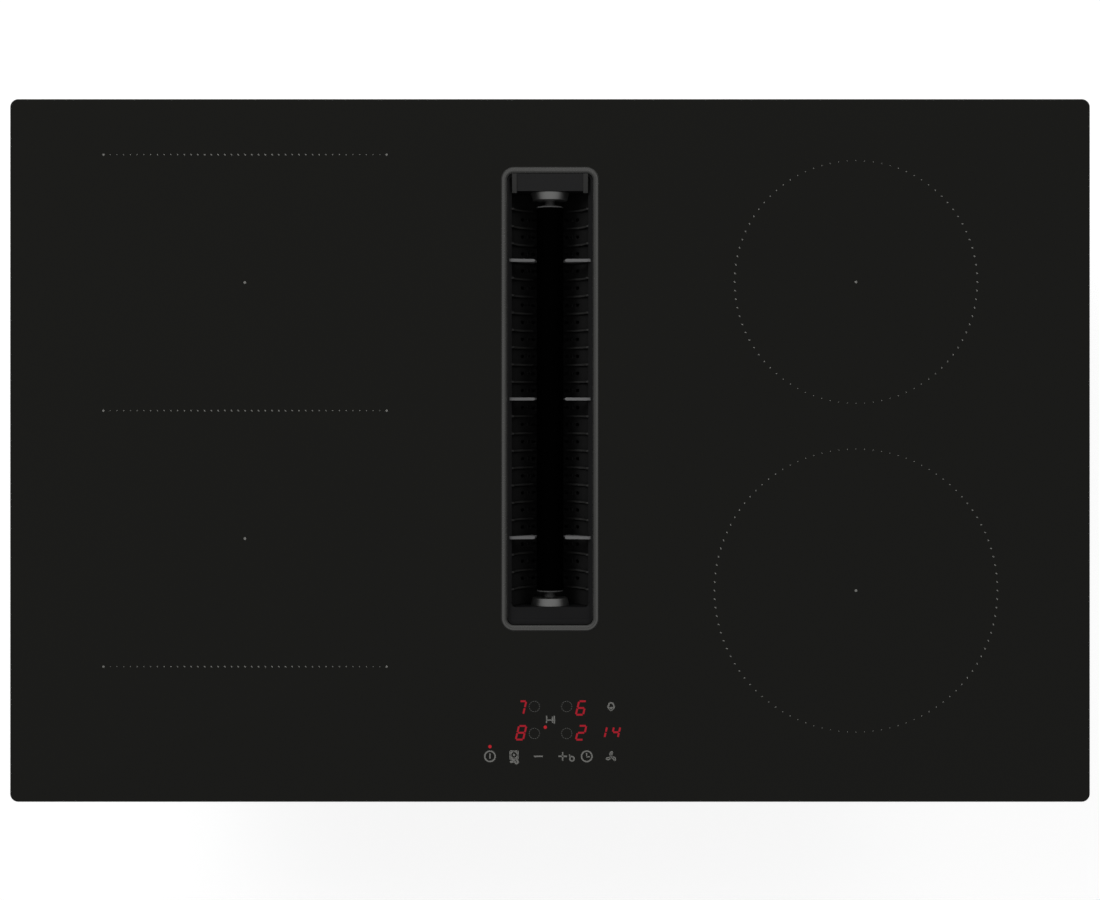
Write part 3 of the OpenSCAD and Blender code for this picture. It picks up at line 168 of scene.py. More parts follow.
@dataclass
class Shape:
    """Points and faces in millimetres that become one piece."""

    points: list[Array] = field(default_factory=list)
    faces: list[Array] = field(default_factory=list)
    count: int = 0

    def add(self, points: Array, faces: Array) -> "Shape":
        """Adds points with faces that count from the first of them."""
        points = np.asarray(points, float).reshape(-1, 3)
        self.points.append(points)
        self.faces.append(np.asarray(faces, np.int64) + self.count)
        self.count += len(points)
        return self

    def grid(self, points: Array, ring: bool = False, tube: bool = False) -> "Shape":
        """Adds the quads of a grid of points.

        Args:
            points: array of (rows, columns, 3).
            ring: whether the last row joins the first.
            tube: whether the last column joins the first.

        Returns:
            The shape itself.
        """
        rows, columns = points.shape[:2]
        index = np.arange(rows * columns).reshape(rows, columns)
        index = np.vstack([index, index[:1]]) if ring else index
        index = np.hstack([index, index[:, :1]]) if tube else index
        quads = np.stack([index[:-1, :-1], index[:-1, 1:], index[1:, 1:], index[1:, :-1]], -1)
        return self.add(points, quads.reshape(-1, 4))

    def cap(self, ring: Array) -> "Shape":
        """Adds one flat face over a ring of points."""
        return self.add(ring, np.arange(len(ring))[None, :])

    def lens_field(self, centres: Array, axes: Array, turns: Array, z: float, height: float,
                   sides: int = 14) -> "Shape":
        """Adds many thin elliptic plates.

        A plate's rim is its centre plus cos and sin of an angle times its two half axes,
        turned by its own angle. A lower and an upper rim are joined and closed by faces.

        Args:
            centres: (n, 2) places.
            axes: (n, 2) half axes.
            turns: (n,) angles of the long axis.
            z: level of the lower rim.
            height: thickness of a plate.
            sides: corners of a rim.

        Returns:
            The shape itself.
        """
        angle = TAU * np.arange(sides) / sides
        flat = axes[:, None, :] * np.stack([np.cos(angle), np.sin(angle)], -1)[None]
        cos, sin = np.cos(turns)[:, None], np.sin(turns)[:, None]
        plan = np.stack([flat[..., 0] * cos - flat[..., 1] * sin,
                         flat[..., 0] * sin + flat[..., 1] * cos], -1) + centres[:, None, :]
        level = np.broadcast_to(np.array([z, z + height])[None, :, None, None],
                                (len(centres), 2, sides, 1))
        points = np.concatenate([np.repeat(plan[:, None], 2, 1), level], -1)
        low = np.arange(sides)
        wall = np.stack([low, np.roll(low, -1), np.roll(low, -1) + sides, low + sides], -1)
        start = 2 * sides * np.arange(len(centres))[:, None, None]
        first = self.count
        self.add(points, (start + wall[None]).reshape(-1, 4))
        self.faces.append(first + start[:, 0] + low[::-1][None])
        self.faces.append(first + start[:, 0] + sides + low[None])
        return self

    def ribbon(self, line: Array, width: float, z: float, height: float,
               closed: bool = False) -> "Shape":
        """Adds a flat band of even width along a line in plan.

        The band's sides are the line plus and minus half its width times the normal, which
        is the direction between a point's neighbours turned by a quarter.

        Args:
            line: (n, 2) points of the middle line.
            width: width of the band.
            z: level of its underside.
            height: its thickness.
            closed: whether the line closes on itself.

        Returns:
            The shape itself.
        """
        line = np.asarray(line, float)
        if closed:
            ahead, behind = np.roll(line, -1, 0), np.roll(line, 1, 0)
        else:
            ahead, behind = np.vstack([line[1:], line[-1:]]), np.vstack([line[:1], line[:-1]])
        run = ahead - behind
        run /= np.linalg.norm(run, axis=1, keepdims=True)
        across = np.stack([-run[:, 1], run[:, 0]], -1) * width / 2
        left, right, top = line + across, line - across, z + height
        corners = ((left, z), (right, z), (right, top), (left, top))
        section = np.stack([np.insert(side, 2, level, axis=1) for side, level in corners], 1)
        self.grid(section, ring=closed, tube=True)
        if not closed:
            self.cap(section[0]).cap(section[-1])
        return self

    def turned(self, profile: Array, centre: Array, sides: int) -> "Shape":
        """Adds a closed profile turned about an axis along Y.

        A profile point (radius, height) becomes a circle of that radius at that height
        along the axis.

        Args:
            profile: (n, 2) points of radius and height.
            centre: a point on the axis, where the height is zero.
            sides: corners of each circle.

        Returns:
            The shape itself.
        """
        angle = TAU * np.arange(sides) / sides
        u = profile[:, :1] * np.cos(angle)[None]
        v = profile[:, :1] * np.sin(angle)[None]
        w = np.repeat(profile[:, 1:], sides, 1)
        return self.grid(np.stack([v, w, u], -1) + centre, ring=True, tube=True)

    def piece(self, name: str, finish: "Finish", body: str, slot: str,
              replaces: Sequence[str] = (), sharp: float = 35.0) -> bpy.types.Object:
        """Makes the piece's object, with its doubles merged and its faces turned outwards.

        Args:
            name: name of the piece.
            finish: its finish.
            body: CAD body that it rides on.
            slot: material slot of the record; not used.
            replaces: CAD nodes that it stands for.
            sharp: angle in degrees above which an edge stays sharp.

        Returns:
            The new object.
        """
        mesh = bpy.data.meshes.new(name)
        points = np.vstack(self.points) * MM
        faces = [face for block in self.faces for face in block.tolist()]
        mesh.from_pydata(points.tolist(), [], faces)
        work = bmesh.new()
        work.from_mesh(mesh)
        bmesh.ops.remove_doubles(work, verts=work.verts, dist=WELD)
        bmesh.ops.recalc_face_normals(work, faces=work.faces)
        work.to_mesh(mesh)
        work.free()
        return stand(mesh, finish, body, replaces, sharp)


def stand(mesh: bpy.types.Mesh, finish: "Finish", body: str,
          replaces: Sequence[str], sharp: float) -> bpy.types.Object:
    """Shades a mesh, gives it its finish and puts it on its body under its own name.

    Args:
        mesh: the mesh, in metres and in place.
        finish: its finish.
        body: CAD body that it rides on.
        replaces: CAD nodes that it stands for.
        sharp: angle in degrees above which an edge stays sharp.

    Returns:
        The new object.
    """
    mesh.polygons.foreach_set("use_smooth", np.ones(len(mesh.polygons), bool))
    mesh.set_sharp_from_angle(angle=math.radians(sharp))
    mesh.materials.append(finish.material())
    piece = bpy.data.objects.new(mesh.name, mesh)
    bpy.context.scene.collection.objects.link(piece)
    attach(piece, body)
    if replaces:
        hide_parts(*replaces)
    log.info("%s: %d faces on %s", mesh.name, len(mesh.polygons), body)
    return piece


def face_centres(mesh: bpy.types.Mesh) -> Array:
    """Middles of a mesh's faces in millimetres, as an array of (n, 3)."""
    centre = np.zeros(3 * len(mesh.polygons))
    mesh.polygons.foreach_get("center", centre)
    return centre.reshape(-1, 3) / MM


def split_finish(piece: bpy.types.Object, finishes: Sequence["Finish"], choice: Array) -> None:
    """Adds finishes to a piece and gives each face the one of its number, 0 being the old one.

    Args:
        piece: the object.
        finishes: finishes from number 1 on.
        choice: number of each face's finish.
    """
    for finish in finishes:
        piece.data.materials.append(finish.material())
    piece.data.polygons.foreach_set("material_index", choice.astype(np.int32))


def drop_crumbs(work: bmesh.types.BMesh, least: float = 2.0) -> None:
    """Deletes loose bits that are smaller than a size in every direction.

    Args:
        work: the mesh, in metres.
        least: the size in millimetres.
    """
    left = set(work.verts)
    crumbs: list[bmesh.types.BMVert] = []
    while left:
        group, edge = [], [left.pop()]
        while edge:
            vert = edge.pop()
            group.append(vert)
            near = {link.other_vert(vert) for link in vert.link_edges} & left
            left -= near
            edge.extend(near)
        reach = np.ptp(np.array([vert.co for vert in group]), axis=0)
        if reach.max() < least * MM:
            crumbs.extend(group)
    bmesh.ops.delete(work, geom=crumbs, context="VERTS")


def eased_copy(node: str, finish: "Finish", width: float = 0.3,
               angle: float = 38.0) -> bpy.types.Object:
    """Stands a copy of a CAD node in its place, with its edges eased as real ones are.

    The copy's triangles are merged and its flat areas joined, then a bevel rounds every
    edge that turns by more than the angle.

    Args:
        node: CAD node.
        finish: its finish.
        width: width of the eased edge in millimetres.
        angle: least turn of an eased edge in degrees.

    Returns:
        The copy.
    """
    source = frame["nodes"][node]
    mesh = source.data.copy()
    mesh.name = node + "_eased"
    mesh.materials.clear()
    work = bmesh.new()
    work.from_mesh(mesh)
    bmesh.ops.remove_doubles(work, verts=work.verts, dist=CAD_WELD)
    drop_crumbs(work)
    bmesh.ops.dissolve_limit(work, angle_limit=FLAT, verts=work.verts, edges=work.edges)
    work.to_mesh(mesh)
    work.free()
    piece = stand(mesh, finish, body_of(source)[0], [node], angle)
    bevel = piece.modifiers.new("eased_edges", "BEVEL")
    bevel.width = width * MM
    bevel.segments = 2
    bevel.limit_method = "ANGLE"
    bevel.angle_limit = math.radians(angle)
    return piece


# ---------------------------------------------------------------- finishes


class Graph:
    """The nodes of a material or of the world, with short calls that add and join them."""

    def __init__(self, owner: Owner) -> None:
        """Takes over the owner's nodes and empties them."""
        owner.use_nodes = True
        self.tree = owner.node_tree
        self.tree.nodes.clear()

    def add(self, kind: str, inputs: dict[str | int, object] | None = None,
            **settings: object) -> bpy.types.Node:
        """Adds a node.

        Args:
            kind: type of the node without its ShaderNode prefix.
            inputs: values or sockets by input name or number.
            settings: attributes of the node.

        Returns:
            The node.
        """
        node = self.tree.nodes.new("ShaderNode" + kind)
        for key, value in settings.items():
            setattr(node, key, value)
        for key, value in (inputs or {}).items():
            socket = node.inputs[key]
            if isinstance(value, Socket):
                self.tree.links.new(value, socket)
            elif socket.type == "RGBA" and len(value) == 3:
                socket.default_value = (*value, 1.0)
            else:
                socket.default_value = value
        return node

    def coords(self, scale: Sequence[float] = (1, 1, 1), turn: float = 0.0) -> Socket:
        """Object coordinates, stretched by a scale and turned about Z."""
        source = self.add("TexCoord").outputs["Object"]
        return self.add("Mapping", {"Vector": source, "Scale": scale,
                                    "Rotation": (0.0, 0.0, turn)}).outputs[0]

    def noise(self, scale: float, detail: float = 3.0, vector: Socket | None = None,
              rough: float = 0.5) -> Socket:
        """Noise from 0 to 1 whose scale is in features per metre."""
        where = vector or self.coords()
        return self.add("TexNoise", {"Vector": where, "Scale": scale, "Detail": detail,
                                     "Roughness": rough}).outputs["Fac"]

    def spread(self, value: Socket, low: float, high: float, start: float = 0.3,
               end: float = 0.7) -> Socket:
        """Maps a value between start and end onto low to high."""
        return self.add("MapRange", {"Value": value, "From Min": start, "From Max": end,
                                     "To Min": low, "To Max": high}).outputs[0]

    def blend(self, share: Socket, first: Colour, second: Colour) -> Socket:
        """Mixes two colours by a share."""
        return self.add("Mix", {0: share, 6: first, 7: second}, data_type="RGBA").outputs[2]

    def maths(self, operation: str, *values: Socket | float) -> Socket:
        """Result of a calculation, such as the larger of two values."""
        return self.add("Math", dict(enumerate(values)), operation=operation).outputs[0]

    def relief(self, height: Socket, depth: float) -> Socket:
        """Normal of a relief whose full depth is given in millimetres."""
        return self.add("Bump", {"Height": height, "Distance": depth * MM,
                                 "Strength": 1.0}).outputs[0]


class Grain(Enum):
    """What a surface looks like from close by, as the name of the method that makes it."""

    MOULDED = "moulded"
    POLISHED = "polished"
    SATIN = "satin"
    BRUSHED = "brushed"
    TURNED = "turned"
    SPANGLE = "spangle"
    CAST = "cast"
    FOAM = "foam"
    FIBRE = "fibre"
    STRANDED = "stranded"
    CIRCUIT = "circuit"
    PRINTED = "printed"


@dataclass(frozen=True)
class Finish:
    """One finish of the cooktop's pieces.

    Each grain's method returns three sockets: the share between the two tones of the colour,
    the roughness and the height of the relief.

    Attributes:
        name: name of the material.
        colour: base colour in linear light.
        rough: roughness.
        grain: kind of surface.
        metal: share of metal.
        shift: share by which the colour varies.
        depth: depth of the relief in millimetres.
        specular: strength of the sheen of a non-metal.
        glow: colour of its own light, or None.
        made: materials made so far, by name.
    """

    name: str
    colour: Colour
    rough: float
    grain: Grain = Grain.MOULDED
    metal: float = 0.0
    shift: float = 0.08
    depth: float = 0.02
    specular: float = 0.5
    glow: Colour | None = None
    made: ClassVar[dict[str, bpy.types.Material]] = {}

    def tint(self, factor: float) -> Colour:
        """The base colour times a factor."""
        return tuple(min(1.0, c * factor) for c in self.colour)

    def material(self) -> bpy.types.Material:
        """The finish's material, made on its first use."""
        if self.name not in self.made:
            self.made[self.name] = self.build()
        return self.made[self.name]

    def build(self) -> bpy.types.Material:
        """Makes the material from the grain's share, roughness and relief."""
        material = bpy.data.materials.new(self.name)
        graph = Graph(material)
        share, rough, height = getattr(self, self.grain.value)(graph)
        colour = graph.blend(share, self.tint(1 - self.shift), self.tint(1 + self.shift))
        inputs: dict[str | int, object] = {
            "Base Color": colour, "Roughness": rough, "Metallic": self.metal,
            "Specular IOR Level": self.specular, "Normal": graph.relief(height, self.depth)}
        if self.glow:
            inputs |= {"Emission Color": self.glow, "Emission Strength": 1.0}
        shader = graph.add("BsdfPrincipled", inputs)
        graph.add("OutputMaterial", {"Surface": shader.outputs[0]})
        return material

    def worn(self, graph: Graph, value: Socket, less: float, more: float, start: float = 0.3,
             end: float = 0.7) -> Socket:
        """Roughness from a bit less to a bit more than the finish's own, by a value."""
        return graph.spread(value, self.rough - less, self.rough + more, start, end)

    def moulded(self, graph: Graph) -> Look:
        """Spark-eroded texture: fine noise over a slow change of tone."""
        slow, fine = graph.noise(45, 2), graph.noise(2600, 2)
        cells = graph.add("TexVoronoi", {"Vector": graph.coords(), "Scale": 1500.0}).outputs[0]
        rough = self.worn(graph, fine, 0.05, 0.05)
        return slow, rough, graph.maths("MULTIPLY_ADD", cells, 0.6, fine)

    def polished(self, graph: Graph) -> Look:
        """Polished surface with a very slow waviness and hair-fine wear."""
        slow = graph.noise(9, 1)
        wear = graph.noise(900, 4, graph.coords((1.0, 0.12, 1.0), 0.7), 0.7)
        return slow, self.worn(graph, wear, 0.0, 0.03, 0.45, 0.75), slow

    def satin(self, graph: Graph) -> Look:
        """Satin coat: slight orange peel."""
        slow, peel = graph.noise(30, 2), graph.noise(700, 2)
        return slow, self.worn(graph, peel, 0.04, 0.04), peel

    def brushed(self, graph: Graph) -> Look:
        """Rolled sheet: noise drawn out along X."""
        lines = graph.noise(1400, 3, graph.coords((0.02, 1.0, 1.0)), 0.6)
        return lines, self.worn(graph, lines, 0.06, 0.08), lines

    def turned(self, graph: Graph) -> Look:
        """Turned metal whose marks go round the Y axis: noise along Y alone."""
        lines = graph.noise(2200, 3, graph.coords((0.02, 1.0, 0.02)), 0.6)
        return lines, self.worn(graph, lines, 0.05, 0.07), lines

    def spangle(self, graph: Graph) -> Look:
        """Zinc coat: crystals of slightly different tone with fine rolling marks."""
        cells = graph.add("TexVoronoi", {"Vector": graph.coords(), "Scale": 160.0})
        tone = graph.add("SeparateColor", {0: cells.outputs["Color"]}).outputs[0]
        fine = graph.noise(900, 4)
        share = graph.maths("MULTIPLY_ADD", tone, 0.65, graph.spread(fine, 0.0, 0.35))
        return share, self.worn(graph, tone, 0.07, 0.07, 0, 1), fine

    def cast(self, graph: Graph) -> Look:
        """Cast or sintered surface: coarse noise on finer noise."""
        coarse, fine = graph.noise(260, 4), graph.noise(1500, 3)
        height = graph.maths("MULTIPLY_ADD", fine, 0.5, coarse)
        return coarse, self.worn(graph, fine, 0.08, 0.08), height

    def foam(self, graph: Graph) -> Look:
        """Closed-cell foam or rubber: small cells."""
        cells = graph.add("TexVoronoi", {"Vector": graph.coords(), "Scale": 1100.0}).outputs[0]
        return cells, self.worn(graph, cells, 0.06, 0.04, 0, 1), cells

    def fibre(self, graph: Graph) -> Look:
        """Fibre blanket: tangled noise."""
        web = graph.noise(1300, 8, None, 0.8)
        return web, self.worn(graph, web, 0.05, 0.05), web

    def stranded(self, graph: Graph) -> Look:
        """Stranded wire: slanted fine waves."""
        wave = graph.add("TexWave", {"Vector": graph.coords((1, 1, 1), 0.8), "Scale": 320.0,
                                     "Distortion": 2.5, "Detail": 2.0}).outputs["Fac"]
        return wave, self.worn(graph, wave, 0.08, 0.1, 0, 1), wave

    def circuit(self, graph: Graph) -> Look:
        """Circuit board: tracks as the joints of an irregular brick pattern."""
        tracks = graph.add("TexBrick", {
            "Vector": graph.coords(), "Scale": 55.0, "Mortar Size": 0.06, "Bias": 0.0,
            "Brick Width": 0.9, "Row Height": 0.22}, offset=0.37, squash=0.7).outputs["Fac"]
        return tracks, self.worn(graph, graph.noise(600, 3), 0.05, 0.05), tracks

    def printed(self, graph: Graph) -> Look:
        """Fired ceramic print: fine grain of the screen."""
        grain = graph.noise(2400, 2)
        return grain, self.worn(graph, grain, 0.08, 0.08), grain


BLACK_GLASS = Finish("black_glass", (0.0062, 0.0062, 0.0045), 0.05, Grain.POLISHED, shift=0.05,
                     depth=0.0)
GROUND_EDGE = Finish("ground_glass_edge", (0.012, 0.012, 0.012), 0.45, Grain.SATIN, shift=0.15,
                     depth=0.01, specular=0.25)
FRIT = Finish("grey_print", (0.25, 0.25, 0.235), 0.5, Grain.PRINTED, shift=0.06, depth=0.004,
              specular=0.2)
FAINT_FRIT = Finish("faint_print", (0.10, 0.10, 0.095), 0.5, Grain.PRINTED, shift=0.06,
                    depth=0.004, specular=0.2)
RED_GLOW = Finish("red_digits", (0.02, 0.001, 0.002), 0.4, Grain.PRINTED, depth=0.0,
                  specular=0.1, glow=(0.32, 0.012, 0.022))
RED_LAMP = Finish("red_lamp", (0.02, 0.001, 0.002), 0.4, Grain.PRINTED, depth=0.0,
                  specular=0.1, glow=(0.41, 0.016, 0.024))
BEZEL = Finish("dark_bezel", (0.33, 0.33, 0.32), 0.24, Grain.SATIN, metal=0.95, shift=0.03,
               depth=0.0008)
BASKET = Finish("basket_plastic", (0.011, 0.011, 0.0115), 0.45, shift=0.12, depth=0.012,
                specular=0.35)
BARS = Finish("bar_plastic", (0.185, 0.185, 0.187), 0.5, depth=0.01)
GRIP = Finish("grip_black", (0.0004, 0.0004, 0.0004), 0.55, Grain.SATIN, depth=0.004,
              specular=0.01)
CAP = Finish("cap_grey", (0.09, 0.09, 0.09), 0.45, depth=0.01)
# Painted light: the basket's rear plate is lighter to stand in for light falling from the back.
PAINTED_LIGHT_PLATE = Finish("basket_plate_painted_light", (0.026, 0.026, 0.0265), 0.45, depth=0.012, specular=0.35)
# Painted highlight: the rear plate's borders are lighter still to stand in for the highlight on
# their rounded edges.
PAINTED_HIGHLIGHT_BORDER = Finish("basket_border_painted_highlight", (0.052, 0.052, 0.051), 0.45, depth=0.012, specular=0.35)
SLAT = Finish("basket_slats", (0.036, 0.036, 0.035), 0.45, shift=0.1, depth=0.012,
              specular=0.35)
BOSS = Finish("bright_boss", (0.72, 0.72, 0.71), 0.42, Grain.TURNED, metal=1.0, shift=0.05,
              depth=0.002)
ROD = Finish("steel_rod", (0.12, 0.12, 0.12), 0.5, Grain.TURNED, metal=0.6, depth=0.003)
MESH = Finish("filter_mesh", (0.022, 0.022, 0.022), 0.6, Grain.BRUSHED, metal=0.3, depth=0.006,
              specular=0.2)
TRAY = Finish("tray_plastic", (0.03, 0.03, 0.032), 0.5)
HOUSING = Finish("housing_plastic", (0.018, 0.018, 0.019), 0.5, shift=0.12)
WHEEL = Finish("wheel_plastic", (0.05, 0.05, 0.053), 0.45)
ZINC = Finish("zinc_sheet", (0.42, 0.43, 0.44), 0.38, Grain.SPANGLE, metal=0.85, shift=0.12,
              depth=0.004)
SCREW = Finish("screw_steel", (0.55, 0.55, 0.56), 0.3, Grain.CAST, metal=1.0, depth=0.004)
SPRING = Finish("spring_steel", (0.45, 0.45, 0.47), 0.28, Grain.BRUSHED, metal=1.0, depth=0.004)
SHEET = Finish("carrier_sheet", (0.6, 0.61, 0.62), 0.35, Grain.BRUSHED, metal=1.0, depth=0.005)
COPPER = Finish("copper_winding", (0.52, 0.22, 0.09), 0.35, Grain.STRANDED, metal=0.9,
                shift=0.25, depth=0.08)
FORMER = Finish("former_plastic", (0.68, 0.66, 0.6), 0.55)
FERRITE = Finish("ferrite", (0.045, 0.045, 0.05), 0.55, Grain.CAST, shift=0.15, depth=0.03)
BLANKET = Finish("insulation", (0.78, 0.77, 0.72), 0.9, Grain.FIBRE, shift=0.15, depth=0.15)
CERAMIC = Finish("sensor_ceramic", (0.8, 0.79, 0.75), 0.4, Grain.CAST)
BOARD = Finish("circuit_board", (0.02, 0.13, 0.055), 0.35, Grain.CIRCUIT, shift=0.4, depth=0.03)
SINK = Finish("sink_aluminium", (0.62, 0.63, 0.64), 0.36, Grain.BRUSHED, metal=1.0, depth=0.005)
WHITE = Finish("white_plastic", (0.76, 0.75, 0.7), 0.5)
FOAM = Finish("seal_foam", (0.025, 0.025, 0.026), 0.85, Grain.FOAM, shift=0.2, depth=0.08)
RUBBER = Finish("silicone", (0.018, 0.018, 0.018), 0.55, Grain.FOAM, shift=0.1, depth=0.01)
DAMPER = Finish("damper_rubber", (0.02, 0.02, 0.02), 0.6, Grain.FOAM, depth=0.01)
DISPLAY = Finish("display_red", (0.1, 0.008, 0.01), 0.2, Grain.SATIN, depth=0.0)
GLAND = Finish("gland_plastic", (0.025, 0.025, 0.027), 0.45)
MOTOR = Finish("motor_metal", (0.45, 0.46, 0.47), 0.4, Grain.CAST, metal=1.0)
TANK = Finish("tank_plastic", (0.42, 0.43, 0.44), 0.35, Grain.SATIN)

FINISHES: tuple[Finish, ...] = (
    BLACK_GLASS, BEZEL, BASKET, BARS, GRIP, CAP, BOSS, ROD, MESH, TRAY, HOUSING, WHEEL, ZINC,
    SCREW, SPRING, SHEET, COPPER, FORMER, FERRITE, BLANKET, CERAMIC, BOARD, SINK, WHITE, FOAM,
    RUBBER, DAMPER, DISPLAY, GLAND, MOTOR, TANK)


# ---------------------------------------------------------------- glass


@dataclass
class Glass:
    """The glass panel with its ground edge and its long cut-out.

    Attributes:
        corner: corner radius.
        arris: width of the ground arris.
        edge_land: flat ring of the top that belongs to the edge.
        hole_inset: distance from the inlet frame's outline to the edge of the cut-out.
        hole_corner: corner radius of the cut-out.
        polished: depth under the top from which a face is ground.
    """

    corner: float = 6.0
    arris: float = 0.6
    edge_land: float = 0.75
    hole_inset: float = 3.0
    hole_corner: float = 6.5
    polished: float = 0.02

    def build(self) -> None:
        """Makes the panel as one closed surface: underside, edge, top and cut-out."""
        low, high = box_mm("glass_panel")
        lip_low, lip_high = box_mm("inlet_frame")
        width, depth = (high - low)[:2]
        z0, z1 = low[2], high[2]
        a = self.arris
        edge = [(a, z0), (a / 3, z0 + a / 4), (0, z0 + a), (0, z1 - a), (a * 0.22, z1 - a * 0.42),
                (a * 0.6, z1 - a * 0.1), (self.edge_land, z1)]
        hole_w, hole_l = (lip_high - lip_low)[:2] - 2 * self.hole_inset
        hole = [(-a, z1), (0, z1 - a), (0, z0 + a), (-a, z0)]
        outer = outlines(edge, width, depth, self.corner)
        inner = outlines(hole, hole_w, hole_l, self.hole_corner, (lip_high + lip_low)[:2] / 2)
        shape = Shape().grid(np.concatenate([outer, inner]), ring=True, tube=True)
        panel = shape.piece("glass_panel_ground", BLACK_GLASS, "hob", "black_glass",
                            ["glass_panel"], sharp=28)
        ground = face_centres(panel.data)[:, 2] < z1 - self.polished
        split_finish(panel, [GROUND_EDGE], ground)


@dataclass
class Print:
    """Thin marks on the glass.

    Attributes:
        level: level of the glass surface.
        sink: how far a mark reaches into the glass.
        rise: how far it stands over it.
    """

    level: float
    sink: float = 0.01
    rise: float = 0.02

    def plates(self, centres: Array, axes: Array, turns: Array, sides: int = 14) -> Shape:
        """Elliptic plates with these half axes, turned by these angles."""
        return Shape().lens_field(centres, axes, turns, self.level - self.sink,
                                  self.sink + self.rise, sides)

    def stroke(self, shape: Shape, line: Array, width: float, closed: bool = False) -> None:
        """Adds a line of even width to a shape."""
        shape.ribbon(line, width, self.level - self.sink, self.sink + self.rise, closed)


@dataclass
class ZonePrint(Print):
    """The dotted outlines of the cooking zones and their centre marks.

    Dots swell along a line from its ends to its middle and lie slanted to it.

    Attributes:
        lines_y: places of the flexible zone's dotted lines.
        line_x: ends of these lines.
        line_dots: dots of a line.
        line_turn: angle of a line's dots in degrees.
        ring_turn: angle of a ring's first dot in degrees.
        rings: centre x, centre y, radius and number of dots of each round zone.
        marks: centre marks.
        least_area: area of the smallest dots.
        most_area: area of the largest dots between a line's ends.
        end_area: area of the dots at a line's ends.
        mark_area: area of a centre mark.
        swell: power of the sine by which a line's dots swell.
    """

    lines_y: tuple[float, ...] = (219.7, 29.6, -160.5)
    line_x: Point = (-331.6, -121.3)
    line_dots: int = 43
    line_turn: float = 137.0
    ring_turn: float = 225.0
    rings: tuple[tuple[float, float, float, int], ...] = (
        (227.2, 125.15, 90.1, 88), (227.2, -104.0, 105.1, 104))
    marks: tuple[Point, ...] = ((-226.6, 124.8), (-226.6, -65.4), (227.2, 125.15),
                                (227.2, -104.0))
    least_area: float = 0.30
    most_area: float = 1.12
    end_area: float = 2.25
    mark_area: float = 3.3
    swell: float = 1.6

    def dots(self, name: str, centres: Array, area: Array, stretch: Array,
             turns: Array) -> None:
        """Makes a piece of dots with the given areas and proportions of their axes."""
        short = np.sqrt(area / math.pi / stretch)
        self.plates(centres, np.stack([short * stretch, short], -1), turns).piece(
            name, FRIT, "hob", "black_glass")

    def build(self) -> None:
        """Makes the dotted lines, the dotted circles and the centre marks."""
        share = np.linspace(0, 1, self.line_dots)
        swell = np.sin(math.pi * share) ** self.swell
        gain = self.most_area - self.least_area
        area = self.least_area + gain * swell
        area[[0, -1]] = self.end_area
        x = self.line_x[0] + (self.line_x[1] - self.line_x[0]) * share
        turns = np.full_like(x, math.radians(self.line_turn))
        for name, y in zip(("rear", "middle", "front"), self.lines_y):
            centres = np.stack([x, np.full_like(x, y)], -1)
            self.dots(f"zone_line_{name}", centres, area, 1 + swell, turns)
        for name, (cx, cy, radius, count) in zip(("rear", "front"), self.rings):
            angle = TAU * np.arange(count) / count
            swell = np.sin(angle) ** 2
            centres = np.stack([cx + radius * np.sin(angle), cy + radius * np.cos(angle)], -1)
            self.dots(f"zone_ring_{name}", centres, self.least_area + gain * swell, 1 + swell,
                      math.radians(self.ring_turn) - angle)
        ones = np.ones(len(self.marks))
        self.dots("zone_centre_marks", np.array(self.marks), self.mark_area * ones, ones,
                  0 * ones)


class Segment(Enum):
    """Bars of a seven-bar digit, with their ends on its unit frame."""

    TOP = ((0, 1), (1, 1))
    UPPER_LEFT = ((0, 1), (0, 0.5))
    UPPER_RIGHT = ((1, 1), (1, 0.5))
    MIDDLE = ((0, 0.5), (1, 0.5))
    LOWER_LEFT = ((0, 0.5), (0, 0))
    LOWER_RIGHT = ((1, 0.5), (1, 0))
    BOTTOM = ((0, 0), (1, 0))


DIGITS: dict[str, tuple[Segment, ...]] = {
    "1": (Segment.UPPER_RIGHT, Segment.LOWER_RIGHT),
    "2": (Segment.TOP, Segment.UPPER_RIGHT, Segment.MIDDLE, Segment.LOWER_LEFT, Segment.BOTTOM),
    "4": (Segment.UPPER_LEFT, Segment.MIDDLE, Segment.UPPER_RIGHT, Segment.LOWER_RIGHT),
    "6": (Segment.TOP, Segment.UPPER_LEFT, Segment.MIDDLE, Segment.LOWER_LEFT,
          Segment.LOWER_RIGHT, Segment.BOTTOM),
    "7": (Segment.TOP, Segment.UPPER_RIGHT, Segment.LOWER_RIGHT),
    "8": tuple(Segment),
}


@dataclass(frozen=True)
class Stroke:
    """A printed line.

    Attributes:
        points: its middle line, from the middle of the sign.
        width: its width.
        closed: whether it closes on itself.
    """

    points: Sequence[Point] | Array
    width: float = 1.05
    closed: bool = False


def ring(x: float, y: float, radius: float, width: float = 1.05, sides: int = 32) -> Stroke:
    """A printed circle: its centre plus the radius times (cos, sin) of a full turn."""
    angle = TAU * np.arange(sides) / sides
    return Stroke(np.stack([x + radius * np.cos(angle), y + radius * np.sin(angle)], -1), width,
                  True)


def fan_blades(width: float = 0.85) -> tuple[Stroke, ...]:
    """Three fan blades: two smooth edges, turned by thirds of a turn."""
    edges = [smooth_path(edge, 4) for edge in (
        [(-0.2, 0.5), (-0.85, 1.7), (-0.8, 2.9), (0.0, 3.7), (1.2, 3.8)],
        [(0.2, 0.5), (0.45, 1.4), (0.6, 2.4), (1.2, 3.6)])]
    spins = [np.array([[math.cos(turn), math.sin(turn)], [-math.sin(turn), math.cos(turn)]])
             for turn in TAU / 3 * np.arange(3)]
    return tuple(Stroke(edge @ spin, width) for spin in spins for edge in edges)


def drop_outline() -> Stroke:
    """Rounded drop: a smooth half and its mirror image."""
    half = [(0.0, 2.8), (1.4, 2.2), (1.8, 0.9), (2.35, -0.3), (1.3, -1.8), (0.0, -2.8)]
    return Stroke(smooth_path(half + [(-u, v) for u, v in half[-2::-1]], 4)[:-1], closed=True)


